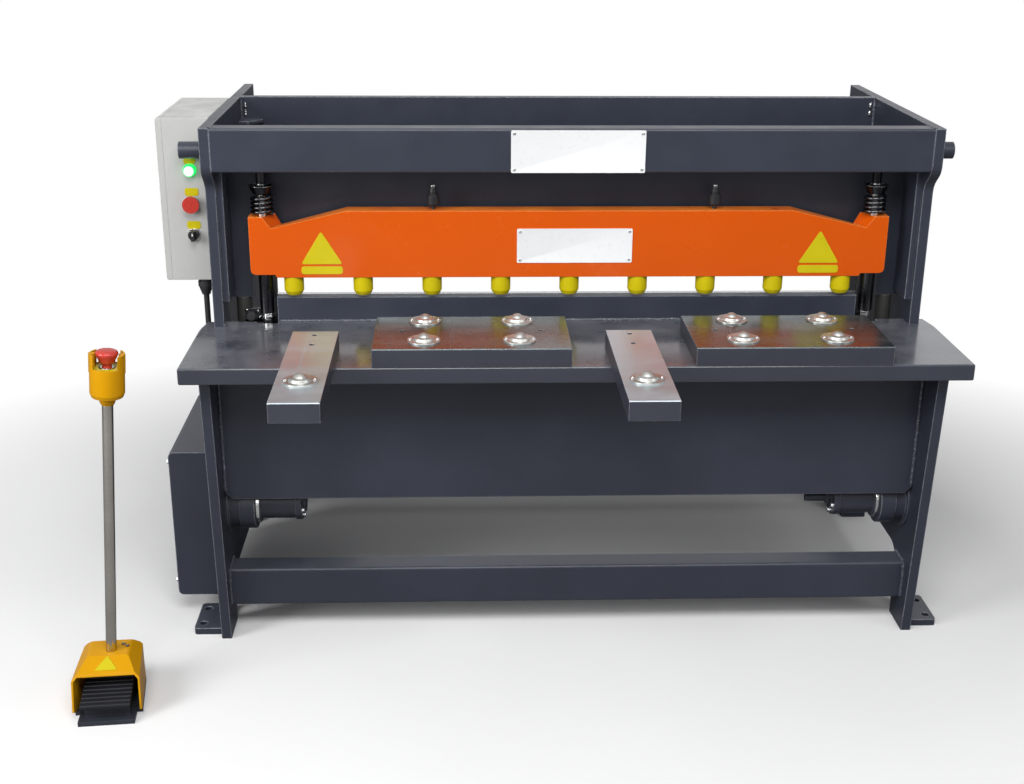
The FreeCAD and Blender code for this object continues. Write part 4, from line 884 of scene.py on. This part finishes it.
def hex_bolt(across, height):
    """A hex head with a washer under it, pointing up from the origin."""
    head = bevelled(disc((0, 0, WASHER + height / 2), across * 0.577, height, 6), "faces", faces_up,
                    height * 0.16)
    return joined([head, disc((0, 0, WASHER / 2), across * 0.72, WASHER, 28)])


ROCKER_Y, ROCKER_Z = -0.278, 0.297
CAP_X, CAP_RADIUS = 0.6105, 0.031
bolt_places = []
for side in (-1, 1):
    for step in range(6):
        turn = step * math.pi / 3 + 0.3
        spot = (side * CAP_X, ROCKER_Y + CAP_RADIUS * math.cos(turn), ROCKER_Z + CAP_RADIUS * math.sin(turn))
        bolt_places.append(Matrix.Translation(spot) @ Matrix.Rotation(-side * math.pi / 2, 4, "Y"))
finish_piece(copies(hex_bolt(0.010, 0.005), bolt_places), "rocker_cap_bolts", ground_steel, "frame",
             30)

# %% Nuts along the raked blade, and the cover's bolts
BLADE_BACK, BLADE_LOW, BLADE_RISE = -0.0827, 0.795, 0.026
blade_places = [at(x / 1000, BLADE_BACK, BLADE_LOW + (x + 660) / 1320 * BLADE_RISE)
                @ Matrix.Rotation(-math.pi / 2, 4, "X") for x in range(-600, 601, 150)]
finish_piece(copies(hex_bolt(0.017, 0.008), blade_places), "upper_blade_nuts", black_oxide, "ram",
             30)
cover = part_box("drive_cover")
cover_places = [at(cover[0][0], y, z) @ Matrix.Rotation(-math.pi / 2, 4, "Y")
                for y in (cover[0][1] + 0.022, cover[1][1] - 0.022)
                for z in (cover[0][2] + 0.03, cover[1][2] - 0.03)]
finish_piece(copies(hex_bolt(0.010, 0.005), cover_places), "cover_bolts", ground_steel, "frame",
             30)
print("bolts fitted")

# %% [markdown]
# ## Pieces round the rockers and the posts
# A bright ground washer shows on each rocker unit. Each guide post stands on a bright hex nut, ends in a
# black stud over its spring cup and has a black shim beside its stop sleeve. The round ones are raised
# ring by ring, as on a lathe, and the flat ones are bevelled bars.

# %% Washers, shims, nuts and studs
for side, name in ((-1, "left"), (1, "right")):
    washer = ring_by_ring([(0.0470, 0.0), (0.0478, 0.0010), (0.0478, 0.0075), (0.0470, 0.0085)], 56,
                          at(side * 0.7125, ROCKER_Y, ROCKER_Z) @ Matrix.Rotation(-side * math.pi / 2, 4, "Y"))
    finish_piece(washer, name + "_rocker_washer", bright_steel, "frame", 30)
for side, name in ((-1, "left"), (1, "right")):
    low_x, high_x = sorted((side * 0.6605, side * 0.6745))
    shim = bar((low_x, -0.158, TABLE_TOP - 0.040), (high_x, -0.138, 0.7975), 0.0012)
    finish_piece(shim, name + "_shim", black_oxide, "frame", 30)
    foot = bevelled(disc((side * POST_X, POST_Y, 0.7065), 0.0115, 0.013, 6), "faces",
                    lambda face: abs(face.normal.z) > 0.9, 0.0012)
    finish_piece(foot, name + "_foot_nut", bright_steel, "frame", 30)
    stud = ring_by_ring([(0.0095, 0.0), (0.0105, 0.001), (0.0105, 0.056), (0.0095, 0.057)], 32,
                        at(side * POST_X, POST_Y, SPRING_TOP + 0.022))
    finish_piece(stud, name + "_post_stud", black_oxide, "frame", 30)
print("washers, shims, nuts and studs fitted")

# %% [markdown]
# A small black bracket with a soft bumper stands beside the left post. Two small gussets stiffen the
# left rear corner of the frame, and bright tack welds show at both rear corners.

# %% The bracket, the gussets and the tack welds
BRACKET_FACE = -0.162
stopper = bar((-0.735, BRACKET_FACE, TABLE_TOP - 0.004), (-0.694, -0.156, TABLE_TOP + 0.030), 0.001)
finish_piece(stopper, "stop_bracket", black_oxide, "frame", 30)
bumper = ring_by_ring([(0.0080, 0.0), (0.0110, 0.002), (0.0110, 0.012), (0.0095, 0.0145), (0.0050, 0.0150)],
                      32, at(-0.719, BRACKET_FACE, TABLE_TOP + 0.014) @ Matrix.Rotation(math.pi / 2, 4, "X"))
finish_piece(bumper, "stop_bumper", black_moulding, "frame", 40)
spots = [at(x, BRACKET_FACE, TABLE_TOP + rise)
         for x, rise in ((-0.7045, 0.0245), (-0.7005, 0.010), (-0.729, 0.0265))]
finish_piece(copies(round_screw(0.0021, 0.0018), spots), "stop_bracket_screws", bright_steel, "frame",
             30)
REAR_FACE = rear[0][1]
for name, low_z, reach in (("corner_gusset", 1.083, 0.052), ("corner_gusset_low", 1.066, 0.040)):
    gusset = bar((left_in, REAR_FACE - 0.045, low_z), (left_in + reach, REAR_FACE, low_z + 0.007))
    bevelled(gusset, "edges", lambda edge: abs(edge.verts[0].co.z - edge.verts[1].co.z) > 0.005
             and edge.verts[0].co.x > left_in + 0.03 and edge.verts[0].co.y < REAR_FACE - 0.03, 0.030, 1)
    finish_piece(gusset, name, slate_enamel, "frame", 30)
TACK_X, TACK_LONG = 0.7645, 0.012
tacks = [lay_bead((side * TACK_X, REAR_FACE - 0.002, z), (side * TACK_X, REAR_FACE - 0.002, z + TACK_LONG),
                  0.0035, 0.003) for side in (-1, 1) for z in (1.118, 1.099)]
finish_piece(joined(tacks), "tack_welds", bright_steel, "frame", 50)
print("bracket, gussets and tack welds fitted")

# %% [markdown]
# ## Cabinet fittings
# The cabinet opens to the left, where the photograph can't see. It gets what such a door has: two
# quarter-turn locks at its front edge and two hinges at its rear edge. The switch gets its white mark.

# %% Locks, hinges and the switch mark
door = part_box("cabinet_door")
LOCK_IN = 0.085
LOCK_RINGS = [(0.0125, 0.0), (0.0125, 0.0016), (0.0112, 0.0028), (0.0070, 0.0028), (0.0070, 0.0018)]
HINGE_RINGS = [(0.0040, 0.0), (0.0050, 0.001), (0.0050, 0.027), (0.0042, 0.0275), (0.0042, 0.0285),
               (0.0050, 0.029), (0.0050, 0.055), (0.0040, 0.056)]
for name, z in (("low", door[0][2] + LOCK_IN), ("high", door[1][2] - LOCK_IN)):
    x, y = door[0][0], door[0][1]
    lock = ring_by_ring(LOCK_RINGS, 40, at(x, y + 0.026, z) @ Matrix.Rotation(-math.pi / 2, 4, "Y"))
    finish_piece(lock, name + "_door_lock", bright_steel, "frame", 40)
    key = bar((x - 0.0032, y + 0.0245, z - 0.005), (x - 0.0012, y + 0.0275, z + 0.005))
    finish_piece(key, name + "_lock_slot", black_moulding, "frame", 30)
    hinge = ring_by_ring(HINGE_RINGS, 24, at(door[1][0], door[1][1] + 0.002, z - 0.028))
    finish_piece(hinge, name + "_door_hinge", cabinet_powder, "frame", 40)
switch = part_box("selector_switch")
middle = [(a + b) / 2 for a, b in zip(*switch)]
MARK_HALF = 0.0012
mark = bar((middle[0] - MARK_HALF, switch[0][1] - 0.0006, middle[2] + 0.001),
           (middle[0] + MARK_HALF, switch[0][1] + 0.0004, switch[1][2] - 0.004))
finish_piece(mark, "switch_mark", white_enamel_plate, "selector", 30)
print("cabinet fitted")

# %% [markdown]
# ## The foot control
# The stand is turned a few degrees to the operator and its column leans, so its pieces are modelled
# upright round the origin and then carried there by two transforms. The red mushroom replaces its
# solid, because a button that is touched all day needs a soft round rim.

# %% Where the foot control and its column stand
FOOT = Vector((-0.9885, -0.618, 0))
FOOT_TURN = Matrix.Translation(FOOT) @ Matrix.Rotation(math.radians(5.0), 4, "Z") @ Matrix.Translation(-FOOT)
COLUMN = (FOOT_TURN @ Matrix.Translation((FOOT.x + 0.0045, FOOT.y, 0.1139))
          @ Matrix.Rotation(math.radians(4.3), 4, "Y"))
COLUMN_LONG = 0.549
COLUMN_TOP = COLUMN @ Matrix.Translation((0, 0, COLUMN_LONG))

# %% Mushroom, collar and the plate under it
mushroom = ring_by_ring([
    (0.0095, 0.058), (0.0095, 0.086), (0.0142, 0.0875), (0.0152, 0.0890), (0.0178, 0.0955), (0.0205, 0.1015),
    (0.0216, 0.1035), (0.0220, 0.1060), (0.0217, 0.1082), (0.0208, 0.1100), (0.0190, 0.1112), (0.0160, 0.1121),
    (0.0110, 0.1127), (0.0050, 0.1130)], 64, COLUMN_TOP)
finish_piece(mushroom, "mushroom_head", red_cap, "stop_head", 40)
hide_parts("stop_mushroom")


def ring_piece(inner, outer, low, high):
    """A flat ring with soft rims, by the difference of two turned solids, on top of the column."""
    rim = 0.0006
    piece = ring_by_ring([(outer - rim, low), (outer, low + rim), (outer, high - rim), (outer - rim, high)])
    cut_out(piece, ring_by_ring([(inner, low - 0.01), (inner, high + 0.01)]))
    piece.data.transform(COLUMN_TOP)
    return piece


collar = ring_piece(0.0102, 0.0142, 0.066, 0.0786)
finish_piece(collar, "mushroom_collar", bright_steel, "frame", 40)
rim_plate = ring_piece(0.0165, 0.0298, 0.0745, 0.0775)
finish_piece(rim_plate, "case_rim_plate", yellow_foil, "frame", 40)

# %% A plain foil and two screws on the hood
lip, ridge = Vector((0, -0.684, 0.096)), Vector((0, -0.640, 0.113))
lift = Vector((0, -0.36, 0.933)) * 0.0006


def on_hood(x, share):
    """A point of the hood's sloping front, from its lip to its ridge."""
    return tuple(lip.lerp(ridge, share) + lift + Vector((FOOT.x + x, 0, 0)))


hood_foil = [on_hood(-0.023, 0.16), on_hood(0.023, 0.16), on_hood(0.0, 0.97)]
foil(hood_foil, "hood_foil", "frame", FOOT_TURN, corner=0.003)
hood_screws = [FOOT_TURN @ at(FOOT.x + x, y, 0.1128) for x, y in ((0.036, -0.606), (0.027, -0.597))]
finish_piece(copies(round_screw(0.0040, 0.0024, "z"), hood_screws), "hood_screws", black_oxide, "frame",
             30)
print("foot control dressed")

# %% [markdown]
# ## Camera, light and floor
# The camera stands where the photograph was taken from, a little left of the middle and 1.6 m up, with
# a short telephoto lens. Large soft boxes give the long soft highlights that enamel and ground steel
# need. The floor and the background are almost white, as in a catalogue.

# %% Camera
CAMERA_PLACE = Vector((-0.24794, -3.22949, 1.63308))
YAW, PITCH, ROLL = -0.039139, -0.348485, 0.007201
forward = Vector((-math.sin(YAW) * math.cos(PITCH), math.cos(YAW) * math.cos(PITCH), math.sin(PITCH)))
right = Vector((math.cos(YAW), math.sin(YAW), 0))
up = Vector((math.sin(YAW) * math.sin(PITCH), -math.cos(YAW) * math.sin(PITCH), math.cos(PITCH)))
image_right = right * math.cos(ROLL) + up * math.sin(ROLL)
image_up = up * math.cos(ROLL) - right * math.sin(ROLL)
lens = bpy.data.cameras.new("catalogue_camera")
lens.lens = 49.285
lens.sensor_width = 36.0
lens.clip_end = 60
camera = bpy.data.objects.new("catalogue_camera", lens)
bpy.context.collection.objects.link(camera)
turn = Matrix((image_right, image_up, -forward)).transposed()
camera.matrix_world = Matrix.Translation(CAMERA_PLACE) @ turn.to_4x4()
bpy.context.scene.camera = camera

# %% Floor
# The floor is white paint near the machine, where shadows fall, and melts into plain white further out.
# For light that bounces it is a mid grey, so that the gloss paint above it keeps its colour.
MELT_FROM, MELT_TO = 0.95, 1.9
nothing_selected()
bpy.ops.mesh.primitive_plane_add(size=60, location=(0, 0, 0))
floor = bpy.context.object
floor.name = "studio_floor"
floor_paint, b, shader = new_finish("studio_floor_paint")
place = b.add("TexCoord").outputs["Object"]
spots = b.noise(place, 1.2, 4.0)
b.feed(shader.inputs["Base Color"], b.blend(b.spread(spots, 0.3, 0.7), (0.86, 0.86, 0.862, 1),
                                            (0.88, 0.88, 0.88, 1)))
b.feed(shader.inputs["Roughness"], b.spread(spots, 0.3, 0.7, 0.60, 0.70))
far = b.add("VectorMath", operation="LENGTH")
b.feed(far.inputs[0], b.stretched((0.82, 1.0, 1.0)))
glow = b.add("Emission")
glow.inputs["Strength"].default_value = 1.0
melt = b.add("MixShader")
b.feed(melt.inputs[0], b.spread(far.outputs["Value"], MELT_FROM, MELT_TO))
b.feed(melt.inputs[1], shader.outputs[0])
b.feed(melt.inputs[2], glow.outputs[0])
grey = b.add("BsdfDiffuse", Color=(0.30, 0.30, 0.31, 1))
seen = b.add("MixShader")
b.feed(seen.inputs[0], b.add("LightPath").outputs["Is Camera Ray"])
b.feed(seen.inputs[1], grey.outputs[0])
b.feed(seen.inputs[2], melt.outputs[0])
b.feed(floor_paint.node_tree.nodes["Material Output"].inputs["Surface"], seen.outputs[0])
floor.data.materials.append(floor_paint)

# %% Soft boxes
# Each box is a name, a place, the point it looks at, its width and height, and its power in watts. The
# powers were found by rendering each box alone and weighing the pictures against the photograph's tones.


def soft_box(name, place, aim, size, power):
    """An area light that looks at a point."""
    lamp = bpy.data.lights.new(name, "AREA")
    lamp.shape = "RECTANGLE"
    lamp.size, lamp.size_y = size
    lamp.energy = power
    holder = bpy.data.objects.new(name, lamp)
    bpy.context.collection.objects.link(holder)
    holder.location = place
    holder.rotation_euler = (Vector(aim) - Vector(place)).to_track_quat("-Z", "Y").to_euler()


SOFT_BOXES = [
    ("overhead_box", (-0.5, -0.5, 3.6), (0, -0.1, 0.4), (3.4, 2.6), 9),
    ("high_front_box", (0.0, -3.2, 3.8), (0, 0, 0.6), (3.0, 1.6), 152),
    ("left_box", (-3.4, -2.4, 2.2), (0, 0, 0.7), (1.6, 2.2), 108),
    ("camera_side_box", (-1.6, -4.2, 2.4), (0, 0, 0.6), (2.4, 1.6), 18),
    ("right_box", (3.4, -2.6, 2.0), (0, 0, 0.7), (1.6, 2.2), 28),
    ("rear_box", (0.5, 3.8, 1.5), (0, 0, 0.7), (4.0, 1.6), 8),
]
for settings in SOFT_BOXES:
    soft_box(*settings)
print("soft boxes:", len(SOFT_BOXES))

# %% Sky
# The sky gives little light. The camera sees it as plain white, and gloss paint as a softer white.
SKY_STRENGTH, MIRRORED_SHARE = 0.08, 0.55
sky = bpy.data.worlds.new("studio_sky")
sky.use_nodes = True
air = Bench(sky.node_tree)
dim = sky.node_tree.nodes["Background"]
dim.inputs["Color"].default_value = (0.95, 0.96, 1.0, 1)
dim.inputs["Strength"].default_value = SKY_STRENGTH
white = air.add("Background", Color=(1, 1, 1, 1))
paths = air.add("LightPath").outputs
seen = air.add("MixShader")
air.feed(seen.inputs[0], air.sum("MAXIMUM", paths["Is Camera Ray"],
                                 air.sum("MULTIPLY", paths["Is Glossy Ray"], MIRRORED_SHARE)))
air.feed(seen.inputs[1], dim.outputs[0])
air.feed(seen.inputs[2], white.outputs[0])
air.feed(sky.node_tree.nodes["World Output"].inputs["Surface"], seen.outputs[0])
bpy.context.scene.world = sky
bpy.context.scene.view_settings.view_transform = "Standard"
bpy.context.scene.view_settings.look = "None"
bpy.context.scene.view_settings.exposure = 0.0
